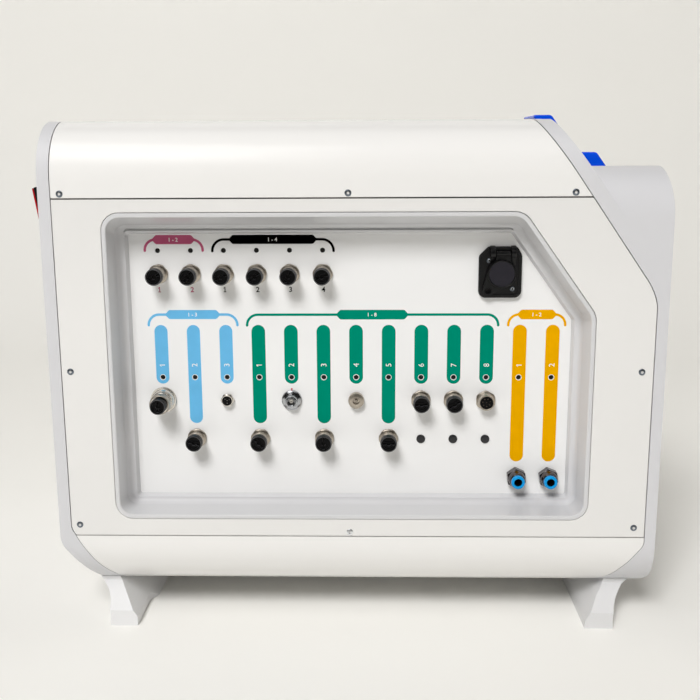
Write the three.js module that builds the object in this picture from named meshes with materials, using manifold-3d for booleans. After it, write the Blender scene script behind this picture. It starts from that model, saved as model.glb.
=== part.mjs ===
// Control unit of a bench bioreactor, modelled from its connector side.
// Millimetres. +X runs towards the sloped front, -Y is the connector side, +Z is up.
// The origin is on the table, under the middle of the whole unit, rocker included.
import * as THREE from "three";
import { mergeVertices } from "three/addons/utils/BufferGeometryUtils.js";
import Module from "manifold-3d";

const wasm = await Module();
wasm.setup();

// ---------------------------------------------------------------- driving dimensions
const DEPTH = 300; // body, connector side to far side
const YN = -DEPTH / 2; // connector side face
const X_LEFT = -228.4; // end with the power switch
const X_RIGHT = 228.6; // front face
const Z_BOTTOM = 27; // underside of the body
const Z_TOP = 388; // top of the body
const Z_FRONT_TOP = 353.6; // top of the front cheeks
const R_EDGE = 42; // long edges of the body
const R_FRONT = 38; // long edges of the front cheeks
const COVER_T = 2.8; // cover thickness
const COVER_SEAT = 3.2; // depth of the seat the covers lie in
const CHASSIS_T = 6.4; // outside face to inside face of the chassis
const SEAM = 0.35; // half of each open seam
const Z_SEAM_TOP = 332.5; // top cover to side panel
const Z_SEAM_BOTTOM = 75.2; // side panel to bottom cover
const SLOPE = 0.706; // x per z along the sloped front

const PLATE_Y = -120; // front face of the connector plate
const PLATE_T = 3;
const LEDGE_Y = -124.5; // front face of the tray ledge round the plate
const PITCH = 25; // connector grid
const COL0 = -150; // first connector column
const Z_LED_1 = 292.6;
const Z_ROW_1 = 274.8;
const Z_LED_2 = 193.8;
const Z_ROW_2 = 176;
const Z_ROW_3 = 145;
const Z_ROW_4 = 114.2;
const LED_HOLE_R = 1.8;
const GAP = 0.3;

const CHARGE = { x: 109, z: 276, w: 31.6, h: 38 }; // charging socket
const SWITCH = { y: -131, z: 328, w: 17, h: 35 }; // power switch
const INLET = { y: -118, z: 268, w: 28, h: 38 }; // mains inlet
const BAY_Y = 112; // half width of the bay between the front cheeks
const CENTRE_X = 4.2; // moves the drawing so that the whole unit is centred on the origin

const colX = (c) => COL0 + PITCH * c;

// ---------------------------------------------------------------- materials
const mat = (color, roughness, metalness) =>
  new THREE.MeshStandardMaterial({ color, roughness, metalness });
const WHITE = mat(0xe8e6e0, 0.42, 0);
const GREY = mat(0xcfcfd3, 0.45, 0);
const TRAY = mat(0xd4d4d6, 0.4, 0);
const PLATE = mat(0xe6e6e6, 0.5, 0);
const NICKEL = mat(0xb9b2a6, 0.3, 1);
const CHROME = mat(0xc4c8cc, 0.2, 1);
const GUN = mat(0x6d6460, 0.3, 1);
const BLACK = mat(0x17171a, 0.45, 0);
const BLUE = mat(0x0a41cd, 0.25, 0);
const COLLET = mat(0x0f95d8, 0.35, 0);
const RED = mat(0x8c0010, 0.3, 0);
const PALE = mat(0xd6d6ea, 0.4, 0);
const BOARD = mat(0x2f6b45, 0.5, 0);
const STEEL = mat(0xa9adb0, 0.4, 1);

// ---------------------------------------------------------------- solids
function solid(geometry) {
  let g = geometry.index ? geometry.toNonIndexed() : geometry.clone();
  g.deleteAttribute("normal");
  g.deleteAttribute("uv");
  g = mergeVertices(g, 1e-4);
  const idx = [];
  const a = g.index.array;
  for (let i = 0; i < a.length; i += 3)
    if (a[i] !== a[i + 1] && a[i + 1] !== a[i + 2] && a[i] !== a[i + 2])
      idx.push(a[i], a[i + 1], a[i + 2]);
  return new wasm.Manifold(
    new wasm.Mesh({
      numProp: 3,
      vertProperties: new Float32Array(g.attributes.position.array),
      triVerts: new Uint32Array(idx),
    })
  );
}
const join = (...s) => s.reduce((a, b) => a.add(b));
const cut = (a, ...s) => s.reduce((r, b) => r.subtract(b), a);

const root = new THREE.Group();
root.name = "bench_bioreactor_control_unit";
function place(name, body, material) {
  const m = body.getMesh();
  const g = new THREE.BufferGeometry();
  const v = new Float32Array((m.vertProperties.length / m.numProp) * 3);
  for (let i = 0, j = 0; i < m.vertProperties.length; i += m.numProp, j += 3) {
    v[j] = m.vertProperties[i];
    v[j + 1] = m.vertProperties[i + 1];
    v[j + 2] = m.vertProperties[i + 2];
  }
  g.setAttribute("position", new THREE.BufferAttribute(v, 3));
  g.setIndex(new THREE.BufferAttribute(new Uint32Array(m.triVerts), 1));
  g.computeVertexNormals();
  const mesh = new THREE.Mesh(g, material);
  mesh.name = name;
  root.add(mesh);
  return mesh;
}

// Polygon with rounded corners. pts: [[x, y], ...] counter-clockwise, radii per corner.
function rounded(pts, radii, seg = 6) {
  const out = [];
  const n = pts.length;
  for (let i = 0; i < n; i++) {
    const r = Array.isArray(radii) ? radii[i] : radii;
    const p = new THREE.Vector2(...pts[i]);
    if (!r) {
      out.push([p.x, p.y]);
      continue;
    }
    const a = new THREE.Vector2(...pts[(i + n - 1) % n]).sub(p).normalize();
    const b = new THREE.Vector2(...pts[(i + 1) % n]).sub(p).normalize();
    const half = Math.acos(THREE.MathUtils.clamp(a.dot(b), -1, 1)) / 2;
    const t = r / Math.tan(half);
    const c = a.clone().add(b).normalize().multiplyScalar(r / Math.sin(half)).add(p);
    const s = a.clone().multiplyScalar(t).add(p).sub(c);
    const e = b.clone().multiplyScalar(t).add(p).sub(c);
    const a0 = Math.atan2(s.y, s.x);
    let da = Math.atan2(e.y, e.x) - a0;
    while (da > Math.PI) da -= 2 * Math.PI;
    while (da < -Math.PI) da += 2 * Math.PI;
    for (let k = 0; k <= seg; k++) {
      const t2 = a0 + (da * k) / seg;
      out.push([c.x + r * Math.cos(t2), c.y + r * Math.sin(t2)]);
    }
  }
  return out;
}
// Moves each edge of a convex counter-clockwise polygon inward by its own distance.
function inset(pts, d) {
  const n = pts.length;
  const line = pts.map((p, i) => {
    const q = pts[(i + 1) % n];
    const l = Math.hypot(q[0] - p[0], q[1] - p[1]);
    const nx = -(q[1] - p[1]) / l;
    const ny = (q[0] - p[0]) / l;
    const k = Array.isArray(d) ? d[i] : d;
    return [nx, ny, nx * p[0] + ny * p[1] + k];
  });
  return pts.map((_, i) => {
    const [a, b, c] = line[(i + n - 1) % n];
    const [e, f, g] = line[i];
    const det = a * f - b * e;
    return [(c * f - b * g) / det, (a * g - c * e) / det];
  });
}
const shapeOf = (pts) => new THREE.Shape(pts.map((p) => new THREE.Vector2(...p)));
const extrude = (pts, depth, holes = []) => {
  const s = shapeOf(pts);
  s.holes = holes.map((h) => new THREE.Path(h.map((p) => new THREE.Vector2(...p))));
  return new THREE.ExtrudeGeometry(s, { depth, bevelEnabled: false, curveSegments: 12 });
};
// Prisms: the outline is given in the named plane and runs along the third axis.
const prismXZ = (pts, y0, y1, holes) =>
  solid(extrude(pts, y1 - y0, holes).rotateX(Math.PI / 2).translate(0, y1, 0));
const prismXY = (pts, z0, z1) => solid(extrude(pts, z1 - z0).translate(0, 0, z0));
const prismYZ = (pts, x0, x1) => {
  const m = new THREE.Matrix4().makeBasis(
    new THREE.Vector3(0, 1, 0),
    new THREE.Vector3(0, 0, 1),
    new THREE.Vector3(1, 0, 0)
  );
  return solid(extrude(pts, x1 - x0).applyMatrix4(m).translate(x0, 0, 0));
};
const box = (x0, x1, y0, y1, z0, z1) =>
  solid(
    new THREE.BoxGeometry(x1 - x0, y1 - y0, z1 - z0).translate(
      (x0 + x1) / 2,
      (y0 + y1) / 2,
      (z0 + z1) / 2
    )
  );
const rect = (x0, x1, z0, z1) => [
  [x0, z0],
  [x1, z0],
  [x1, z1],
  [x0, z1],
];
// Solid between two matching outlines in XZ, at y0 (nearer) and y1.
function loftXZ(a, y0, b, y1) {
  const n = a.length;
  const pos = [];
  const faces = THREE.ShapeUtils.triangulateShape(
    a.map((p) => new THREE.Vector2(...p)),
    []
  );
  const at = (p, y) => [p[0], y, p[1]];
  for (const [i, j, k] of faces) {
    pos.push(...at(a[i], y0), ...at(a[j], y0), ...at(a[k], y0));
    pos.push(...at(b[i], y1), ...at(b[k], y1), ...at(b[j], y1));
  }
  for (let i = 0; i < n; i++) {
    const j = (i + 1) % n;
    pos.push(...at(a[i], y0), ...at(b[i], y1), ...at(b[j], y1));
    pos.push(...at(a[i], y0), ...at(b[j], y1), ...at(a[j], y0));
  }
  const g = new THREE.BufferGeometry();
  g.setAttribute("position", new THREE.BufferAttribute(new Float32Array(pos), 3));
  return solid(g);
}
// Turned solid. profile: [[radius, stand-off], ...] starting and ending on the axis;
// the stand-off is measured out of the plate front towards the connector side.
function turned(profile, x, z, seg = 16) {
  const g = new THREE.LatheGeometry(
    profile.map((p) => new THREE.Vector2(p[0], p[1])),
    seg
  );
  g.rotateX(Math.PI);
  return solid(g.translate(x, PLATE_Y, z));
}
const hexPrism = (af, x, z, s0, s1, turn = 0) => {
  const r = af / Math.sqrt(3);
  const pts = [];
  for (let k = 0; k < 6; k++) {
    const t = turn + (k * Math.PI) / 3;
    pts.push([x + r * Math.cos(t), z + r * Math.sin(t)]);
  }
  return prismXZ(pts, PLATE_Y - s1, PLATE_Y - s0);
};

// ---------------------------------------------------------------- body outlines
const slopeRimX = (z) => 144.8 + (387 - z) * SLOPE;
const endProfile = (d, zTop, rTop) =>
  rounded(
    [
      [YN + d, Z_BOTTOM + d],
      [-YN - d, Z_BOTTOM + d],
      [-YN - d, zTop - d],
      [YN + d, zTop - d],
    ],
    [R_EDGE - d, R_EDGE - d, rTop - d, rTop - d],
    8
  );
// Main body from the side.
const sideMain = [
  [-193, Z_BOTTOM],
  [150, Z_BOTTOM],
  [150, 300],
  [slopeRimX(316), 300],
  [slopeRimX(316), 316],
  [slopeRimX(Z_TOP + 2), Z_TOP + 2],
  [X_LEFT, Z_TOP + 2],
  [X_LEFT, 74],
  [-226.6, 65.6],
  [-219.9, 57],
  [-206.9, 39],
  [-200, 31],
];
// Front cheeks from the side.
const sideFront = [
  [100, Z_BOTTOM],
  [214, Z_BOTTOM],
  [222, 31],
  [227, 38],
  [X_RIGHT, 47],
  [X_RIGHT, 319],
  [227.2, 342],
  [225, Z_FRONT_TOP + 2],
  [slopeRimX(Z_FRONT_TOP + 2) - 12, Z_FRONT_TOP + 2],
  [slopeRimX(316) - 12, 300],
  [100, 300],
];
const bodyFull = (d) =>
  join(
    prismYZ(endProfile(d, Z_TOP, R_EDGE), X_LEFT - 5, X_RIGHT + 5).intersect(
      prismXZ(sideMain, YN - 1, -YN + 1)
    ),
    prismYZ(endProfile(d, Z_FRONT_TOP, R_FRONT), X_LEFT - 5, X_RIGHT + 5).intersect(
      prismXZ(sideFront, YN - 1, -YN + 1)
    )
  );

// Region of the inset covers, seen from the side.
const seamX = (z) => 132.9 + (387 - z) * 0.712;
const coverOutline = [
  [-186, 29.5],
  [-176, Z_BOTTOM - 4],
  [176, Z_BOTTOM - 4],
  [186, 30.5],
  [195, 36.3],
  [199.8, 41.6],
  [205.8, 49.3],
  [213.8, 60],
  [220.4, 72],
  [220.4, 252],
  [219, 259.4],
  [216.2, 266.4],
  [212.6, 272.6],
  [seamX(Z_TOP + 4), Z_TOP + 4],
  [-219.6, Z_TOP + 4],
  [-219.6, 82.5],
  [-216.3, 75],
  [-209.4, 63.5],
  [-203.4, 53.8],
  [-197, 45.2],
  [-190.5, 37.6],
];

// ---------------------------------------------------------------- recess outlines
// Corners: bottom left, bottom right, right, top of the slope, top left.
const lipCorners = [
  [-183.6, 89.4],
  [176.2, 89.4],
  [176.2, 246.9],
  [122, 322.2],
  [-183.6, 322.2],
];
// Edge distances in the order bottom, right, slope, top, left.
const lipInner = inset(lipCorners, 3.3);
const wallFoot = inset(lipCorners, [4.8, 5.7, 8.3, 11.3, 5.7]);
const opening = inset(lipCorners, [8.9, 10.8, 13.3, 15.9, 10.6]);
const lipR = [13, 13, 16, 14, 13];
const lipInR = [10, 10, 14, 12, 10];
const footR = [8, 8, 11, 9, 8];
const openR = [2.2, 2.2, 4, 3, 2.2];
const TRAY_WALL = 2.4;

// ---------------------------------------------------------------- chassis
const cavity = prismXZ(
  [
    [-176, 36],
    [205, 36],
    [X_RIGHT - 8, 66],
    [X_RIGHT - 8, 250],
    [slopeRimX(Z_TOP - 8) - 13, Z_TOP - 8],
    [X_LEFT + 6, Z_TOP - 8],
    [X_LEFT + 6, 92],
  ],
  YN,
  -YN
).intersect(prismYZ(endProfile(CHASSIS_T, Z_TOP, R_EDGE), X_LEFT, X_RIGHT));
const bayFloorX = (z) => slopeRimX(z) - 6; // seat of the sloped deck
const bay = prismXZ(
  [
    [bayFloorX(268), 268],
    [X_RIGHT + 6, 268],
    [X_RIGHT + 6, Z_TOP + 20],
    [bayFloorX(Z_TOP + 20), Z_TOP + 20],
  ],
  -BAY_Y,
  BAY_Y
);
const coverSeat = prismXZ(coverOutline, YN - 2, -YN + 2).subtract(
  prismYZ(endProfile(COVER_SEAT, Z_TOP, R_EDGE), X_LEFT - 9, X_RIGHT + 9)
);
const trayHole = prismXZ(
  rounded(inset(lipCorners, 0.45), [10.5, 10.5, 14.5, 12.5, 10.5], 6),
  YN - 5,
  YN + 20
);
const switchHole = box(X_LEFT - 5, X_LEFT + 12, SWITCH.y - 7, SWITCH.y + 7, SWITCH.z - 15.9, SWITCH.z + 15.9);
const inletHole = box(X_LEFT - 5, X_LEFT + 12, INLET.y - 12, INLET.y + 12, INLET.z - 16, INLET.z + 16);
const farWindow = prismXZ(rounded(rect(-170, 150, 100, 300), 14, 3), -YN - 20, -YN + 5);
place(
  "chassis",
  cut(bodyFull(0), coverSeat, bay, cavity, trayHole, switchHole, inletHole, farWindow),
  GREY
);

// ---------------------------------------------------------------- covers
const coverPlan = inset(coverOutline, SEAM);
const coverSkin = prismXZ(coverPlan, YN - 2, -YN + 2)
  .intersect(prismYZ(endProfile(0, Z_TOP, R_EDGE), X_LEFT, X_RIGHT))
  .subtract(prismYZ(endProfile(COVER_T, Z_TOP, R_EDGE), X_LEFT - 5, X_RIGHT + 5));
const between = (z0, z1, y0 = YN - 5, y1 = -YN + 5) => box(-260, 260, y0, y1, z0, z1);
place("top_cover", coverSkin.intersect(between(Z_SEAM_TOP + SEAM, Z_TOP + 20)), WHITE);
place("bottom_cover", coverSkin.intersect(between(-20, Z_SEAM_BOTTOM - SEAM)), WHITE);
const panelHole = prismXZ(rounded(inset(lipCorners, -0.4), lipR.map((r) => r + 0.4), 6), YN - 5, YN + 8);
place(
  "side_panel_near",
  cut(coverSkin.intersect(between(Z_SEAM_BOTTOM + SEAM, Z_SEAM_TOP - SEAM, YN - 5, 0)), panelHole),
  WHITE
);
const vents = [];
for (let i = 0; i < 9; i++) vents.push(box(-150 + i * 14, -144 + i * 14, -YN - 8, -YN + 5, 120, 168));
place(
  "side_panel_far",
  cut(coverSkin.intersect(between(Z_SEAM_BOTTOM + SEAM, Z_SEAM_TOP - SEAM, 0, -YN + 5)), ...vents),
  WHITE
);

// ---------------------------------------------------------------- sloped deck and drives
const deckT = 5.4;
const deckProfile = [
  [bayFloorX(268.6) + 0.4, 268.6],
  [bayFloorX(268.6) + 0.4 + deckT, 268.6],
  [bayFloorX(Z_TOP - 0.6) + 0.4 + deckT, Z_TOP - 0.6],
  [bayFloorX(Z_TOP - 0.6) + 0.4, Z_TOP - 0.6],
];
place("front_deck", prismXZ(deckProfile, -BAY_Y + GAP, BAY_Y - GAP), GREY);
const deckX = (z) => bayFloorX(z) + 0.4 + deckT;
function drive(tag, y0, y1, zTop, out) {
  const len = 52;
  const foot = zTop - len;
  const body = [
    [deckX(foot) + GAP, foot],
    [deckX(foot) + 12, foot - 2],
    [deckX(zTop - 5) + 12, zTop - 5],
    [deckX(zTop - 12) + GAP, Math.min(zTop - 8, Z_TOP + 3.5)],
  ];
  place(`drive_body_${tag}`, prismXZ(rounded(body, [0, 3, 2, 2], 3), y0 + 2, y1 - 2), PALE);
  const cover = [
    [deckX(foot + 1) + 12.4, foot + 1],
    [deckX(foot - 3) + out + 1, foot - 3],
    [deckX(zTop) + out, zTop],
    [deckX(zTop) + 12.8, zTop],
  ];
  place(`drive_cover_${tag}`, prismXZ(rounded(cover, [1.5, 5, 4, 1.5], 4), y0, y1), BLUE);
}
drive("lower", -80, -20, 363.6, 25.6);
drive("upper", 20, 80, 395, 29.5);

// ---------------------------------------------------------------- feet
const bodyClear = join(
  prismYZ(endProfile(-GAP, Z_TOP, R_EDGE), X_LEFT - 5, X_RIGHT + 5).intersect(
    prismXZ(
      sideMain.map((p) => [p[0] < -190 ? p[0] - GAP : p[0], p[1] < 80 ? p[1] - GAP : p[1]]),
      YN - 1,
      -YN + 1
    )
  ),
  prismYZ(endProfile(-GAP, Z_FRONT_TOP, R_FRONT), X_LEFT - 5, X_RIGHT + 5).intersect(
    prismXZ(
      sideFront.map((p) => [p[0], p[1] < 80 ? p[1] - GAP : p[1]]),
      YN - 1,
      -YN + 1
    )
  )
);
const footSide = prismYZ(
  [
    [YN, 0],
    [-YN, 0],
    [-YN, 12.8],
    [-YN - 19.5, 29.5],
    [-YN - 23, 44],
    [YN + 23, 44],
    [YN + 19.5, 29.5],
    [YN, 12.8],
  ],
  -260,
  260
);
const footLeft = prismXZ(
  [
    [-193, 0],
    [-166.3, 0],
    [-171.4, 7.5],
    [-175.2, 13.2],
    [-187.8, 30],
    [-188.6, 36],
    [-205, 36.4],
    [-204.6, 33],
    [-201.6, 29],
    [-198.2, 25.6],
    [-194.6, 20],
    [-193.3, 12.8],
  ],
  YN,
  -YN
).intersect(footSide).intersect(
  prismXY(
    [
      [-230, YN - 1],
      [-171.6, YN - 1],
      [-171.6, YN + 43],
      [-166, YN + 56],
      [-166, -YN - 56],
      [-171.6, -YN - 43],
      [-171.6, -YN + 1],
      [-230, -YN + 1],
    ],
    -1,
    60
  )
);
place("foot_left", footLeft.subtract(bodyClear), GREY);
const footRight = prismXZ(
  [
    [177.8, 0],
    [199.8, 0],
    [200.2, 14],
    [202.4, 20],
    [206.8, 27],
    [213, 34],
    [213.6, 36],
    [196, 36],
    [195, 30.6],
    [188.4, 22],
    [183.4, 14.5],
    [179.2, 7.5],
  ],
  YN,
  -YN
).intersect(footSide);
place("foot_right", footRight.subtract(bodyClear), GREY);

// ---------------------------------------------------------------- recess tray and plate
const trayFlange = prismXZ(rounded(lipCorners, lipR, 6), YN - 0.5, YN + 2.6);
const traySleeve = loftXZ(
  rounded(inset(lipCorners, 3.3 - TRAY_WALL), [11, 11, 15, 13, 11], 6),
  YN + 1,
  rounded(inset(lipCorners, [4.8, 5.7, 8.3, 11.3, 5.7].map((d) => d - TRAY_WALL)), [9, 9, 12, 10, 9], 6),
  PLATE_Y - GAP
);
const trayBore = loftXZ(
  rounded(lipInner, lipInR, 6),
  YN - 0.5,
  rounded(wallFoot, footR, 6),
  LEDGE_Y
);
const trayMouth = prismXZ(rounded(lipInner, lipInR, 6), YN - 3, YN - 0.5);
const trayOpening = prismXZ(rounded(opening, openR, 6), LEDGE_Y - 1, PLATE_Y + 2);
place("recess_tray", cut(join(trayFlange, traySleeve), trayBore, trayMouth, trayOpening), TRAY);

const holes = [];
const disc = (x, z, r, n = 12) => {
  const p = [];
  for (let k = 0; k < n; k++) {
    const t = (2 * Math.PI * k) / n;
    p.push([x + r * Math.cos(t), z + r * Math.sin(t)]);
  }
  return p;
};
const row1 = [0, 1, 2, 3, 4, 5];
const row2 = { 0: "large", 2: "m8", 4: "coax", 6: "round", 8: "m12", 9: "m12", 10: "open" };
const row3 = [1, 3, 5, 7];
const plugs = [8, 9, 10];
const gas = [11, 12];
for (const c of row1) holes.push(disc(colX(c), Z_LED_1, LED_HOLE_R, 8), disc(colX(c), Z_ROW_1, 5.6));
for (let c = 0; c <= 12; c++) holes.push(disc(colX(c), Z_LED_2, LED_HOLE_R, 8));
const backR = { large: 7.4, m8: 3.8, coax: 4.6, round: 4.2, m12: 5.6, open: 5.6 };
for (const c in row2) holes.push(disc(colX(+c), Z_ROW_2, backR[row2[c]]));
for (const c of row3) holes.push(disc(colX(c), Z_ROW_3, 5.6));
for (const c of plugs) holes.push(disc(colX(c), Z_ROW_3, 2.9, 12));
for (const c of gas) holes.push(disc(colX(c), Z_ROW_4, 5));
holes.push(disc(CHARGE.x, CHARGE.z - 1, 11.6, 20));
const plateCorners = inset(opening, -1.8);
place(
  "connector_plate",
  prismXZ(rounded(plateCorners, [3, 3, 5, 4, 3], 3), PLATE_Y, PLATE_Y + PLATE_T, holes),
  PLATE
);

// ---------------------------------------------------------------- indicator strips
function ledStrip(name, cols, z) {
  const x0 = colX(cols[0]) - 6;
  const x1 = colX(cols[cols.length - 1]) + 6;
  let s = box(x0, x1, PLATE_Y + 4.4, PLATE_Y + 6, z - 4.6, z + 6);
  for (const c of cols)
    s = s.add(
      turned(
        [
          [0, -5],
          [1.4, -5],
          [1.4, -1.4],
          [0.9, -0.7],
          [0, -0.4],
        ],
        colX(c),
        z,
        8
      )
    );
  place(name, s, BOARD);
}
ledStrip("led_strip_upper", row1, Z_LED_1);
ledStrip("led_strip_lower", [0, 1, 2, 3, 4, 5, 6, 7, 8, 9, 10, 11, 12], Z_LED_2);

// ---------------------------------------------------------------- sockets and dust caps
const S0 = 0.12; // flange stand-off from the plate
// M12 socket with a bored front: flange, barrel and threaded tail.
const m12 = (x, z, tip = 11) =>
  turned(
    [
      [0, -11],
      [5.2, -11],
      [5.2, S0],
      [7.5, S0],
      [7.5, 1.6],
      [6.9, 2.3],
      [6.1, 2.3],
      [6.1, tip],
      [4.6, tip],
      [4.6, 3.4],
      [0, 3.4],
    ],
    x,
    z
  );
// Dust cap: head with a plug that enters the socket bore.
const m12Cap = (x, z, tip = 11) =>
  turned(
    [
      [0, tip - 5.4],
      [4.2, tip - 5.4],
      [4.2, tip + GAP],
      [6.2, tip + GAP],
      [6.2, tip + 5.6],
      [5.6, tip + 6.4],
      [0, tip + 6.4],
    ],
    x,
    z
  );
const slot = (x, z, s, w, l, deep, turn) => {
  const c = Math.cos(turn);
  const n = Math.sin(turn);
  const p = rect(-l / 2, l / 2, -w / 2, w / 2).map(([a, b]) => [x + a * c - b * n, z + a * n + b * c]);
  return prismXZ(p, PLATE_Y - s - 1, PLATE_Y - s + deep);
};
const capTurn = [0.5, 0.9, 0.4, 0.7, 1.1, 0.2];
for (const c of row1) {
  place(`socket_1_${c}`, m12(colX(c), Z_ROW_1), NICKEL);
  place(`dust_cap_1_${c}`, m12Cap(colX(c), Z_ROW_1).subtract(slot(colX(c), Z_ROW_1, 17.4, 1.5, 8.4, 1.6, capTurn[c])), BLACK);
}
// Large socket, second row, first column.
place(
  "socket_2_0",
  turned(
    [
      [0, -13],
      [7, -13],
      [7, S0],
      [9.7, S0],
      [9.7, 2],
      [8.9, 2.8],
      [7.7, 2.8],
      [7.3, 10.4],
      [7.85, 11],
      [7.85, 17.6],
      [7.1, 18.3],
      [4.6, 18.3],
      [4.6, 9],
      [0, 9],
    ],
    colX(0),
    Z_ROW_2,
    20
  ),
  NICKEL
);
place("dust_cap_2_0", m12Cap(colX(0), Z_ROW_2, 18.3).subtract(slot(colX(0), Z_ROW_2, 24.7, 1.5, 8.4, 1.6, 1.45)), BLACK);
for (const c of row3) {
  place(`socket_3_${c}`, m12(colX(c), Z_ROW_3), NICKEL);
  const t = { 1: -0.3, 3: -0.7, 5: 1.55, 7: 0 }[c];
  place(`dust_cap_3_${c}`, m12Cap(colX(c), Z_ROW_3).subtract(slot(colX(c), Z_ROW_3, 17.4, 1.5, 8.4, 1.6, t)), BLACK);
}
for (const c of [8, 9]) {
  place(`socket_2_${c}`, m12(colX(c), Z_ROW_2), NICKEL);
  place(`dust_cap_2_${c}`, m12Cap(colX(c), Z_ROW_2).subtract(slot(colX(c), Z_ROW_2, 17.4, 1.5, 8.4, 1.6, c === 8 ? 0.3 : 1.2)), BLACK);
}
// M8 socket with a hexagon front.
place(
  "socket_2_2",
  join(
    turned([[0, -9], [3.4, -9], [3.4, 1], [0, 1]], colX(2), Z_ROW_2, 12),
    hexPrism(9.6, colX(2), Z_ROW_2, S0, 2.2, 0.1),
    turned([[0, 0.6], [4.4, 0.6], [4.4, 4.6], [3.7, 4.6], [3.7, 3.4], [0, 3.4]], colX(2), Z_ROW_2, 16)
  ),
  NICKEL
);
// Coaxial socket with a round nut and a nose.
place(
  "socket_2_4",
  turned(
    [
      [0, -10],
      [4.2, -10],
      [4.2, S0],
      [7.8, S0],
      [7.8, 2.2],
      [6.9, 3.2],
      [4.9, 3.2],
      [4.9, 6.2],
      [4.5, 6.8],
      [2.7, 6.8],
      [2.7, 1.6],
      [0, 1.6],
    ],
    colX(4),
    Z_ROW_2,
    20
  ),
  CHROME
);
// Round coaxial socket with a centre contact.
place(
  "socket_2_6",
  turned(
    [
      [0, -9],
      [3.8, -9],
      [3.8, S0],
      [6.1, S0],
      [6.1, 3.2],
      [5.5, 4],
      [2.7, 4],
      [2.7, 2.2],
      [1.3, 2.2],
      [1.3, 4.4],
      [0, 4.8],
    ],
    colX(6),
    Z_ROW_2,
    16
  ),
  NICKEL
);
// Open M12 socket with a hexagon flange.
place(
  "socket_2_10",
  join(
    turned([[0, -11], [5.2, -11], [5.2, 1], [0, 1]], colX(10), Z_ROW_2, 14),
    hexPrism(14.6, colX(10), Z_ROW_2, S0, 2.6, 0.2),
    turned([[0, 0.6], [6, 0.6], [6, 8], [4.9, 8], [4.9, 5.4], [0, 5.4]], colX(10), Z_ROW_2, 16)
  ),
  NICKEL
);
// Blank plugs.
for (const c of plugs)
  place(
    `blank_plug_${c}`,
    turned([[0, -4.6], [2.6, -4.6], [2.6, S0], [3.4, S0], [3.4, 0.7], [2.7, 1.3], [0, 1.5]], colX(c), Z_ROW_3, 12),
    BLACK
  );
// Gas outlets: hexagon body and push-in release collet.
for (const c of gas) {
  place(
    `gas_fitting_${c}`,
    cut(
      join(
        turned([[0, -10], [4.6, -10], [4.6, 1], [0, 1]], colX(c), Z_ROW_4, 12),
        hexPrism(14.4, colX(c), Z_ROW_4, S0, 6.2, 0.5),
        turned([[0, 5.6], [6.9, 5.6], [6.9, 7], [6, 11.2], [0, 11.2]], colX(c), Z_ROW_4, 16)
      ),
      turned([[0, 2], [4.5, 2], [4.5, 12], [0, 12]], colX(c), Z_ROW_4, 16)
    ),
    GUN
  );
  place(
    `release_collet_${c}`,
    cut(
      turned([[0, 5], [4.1, 5], [4.1, 12.6], [5.1, 12.6], [5.1, 15.4], [4.7, 16], [0, 16]], colX(c), Z_ROW_4, 16),
      turned([[0, 3], [2.3, 3], [2.3, 14.8], [2.9, 17], [0, 17]], colX(c), Z_ROW_4, 12)
    ),
    COLLET
  );
}

// ---------------------------------------------------------------- charging socket
const cx = CHARGE.x;
const cz = CHARGE.z;
const chargeOutline = rounded(rect(cx - CHARGE.w / 2, cx + CHARGE.w / 2, cz - CHARGE.h / 2, cz + CHARGE.h / 2 - 3), [5.5, 5.5, 4, 4], 3);
const HINGE_Z = cz + 14.6;
const HINGE_S = 6.4;
const ear = (x0, x1) => box(x0, x1, PLATE_Y - HINGE_S - 2, PLATE_Y - 3, HINGE_Z - 4, cz + CHARGE.h / 2);
place(
  "charge_socket",
  cut(
    join(
      prismXZ(chargeOutline, PLATE_Y - 3.6, PLATE_Y - S0),
      turned([[0, -14], [11.1, -14], [11.1, -S0 - 0.4], [0, -S0 - 0.4]].map(([r, s]) => [r, s]), cx, cz - 1, 20),
      turned([[0, -1], [11.1, -1], [11.1, 1], [0, 1]], cx, cz - 1, 20),
      ear(cx - 8, cx - 4),
      ear(cx + 7.6, cx + 11.4)
    ),
    turned([[0, -6], [7.6, -6], [7.6, 6], [0, 6]], cx, cz - 1, 20)
  ),
  BLACK
);
const lidOutline = rounded(rect(cx - 10.6, cx + 11, cz - 13.4, HINGE_Z - 4.6), [6, 6, 1, 1], 3);
const barrel = solid(
  new THREE.CylinderGeometry(1.9, 1.9, 11, 12).rotateZ(Math.PI / 2).translate(cx + 1.8, PLATE_Y - HINGE_S, HINGE_Z)
);
place(
  "charge_lid",
  join(
    prismXZ(lidOutline, PLATE_Y - 7.2, PLATE_Y - 3.9),
    box(cx - 3.7, cx + 7.3, PLATE_Y - 7.2, PLATE_Y - 4.9, HINGE_Z - 5, HINGE_Z),
    barrel,
    turned([[0, 7], [10.4, 7], [10.4, 8.2], [9.8, 8.8], [0, 8.8]], cx + 0.6, cz - 0.6, 24)
  ),
  BLACK
);

// ---------------------------------------------------------------- end of the body: switch, inlet, supply
const sx = X_LEFT;
place(
  "switch_housing",
  cut(
    join(
      box(sx - 2.2, sx - S0, SWITCH.y - SWITCH.w / 2, SWITCH.y + SWITCH.w / 2, SWITCH.z - SWITCH.h / 2, SWITCH.z + SWITCH.h / 2),
      box(sx - 1, sx + 17, SWITCH.y - 6.7, SWITCH.y + 6.7, SWITCH.z - 15.6, SWITCH.z + 15.6)
    ),
    box(sx - 6, sx + 11, SWITCH.y - 5.7, SWITCH.y + 5.7, SWITCH.z - 14.8, SWITCH.z + 14.8)
  ),
  BLACK
);
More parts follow.
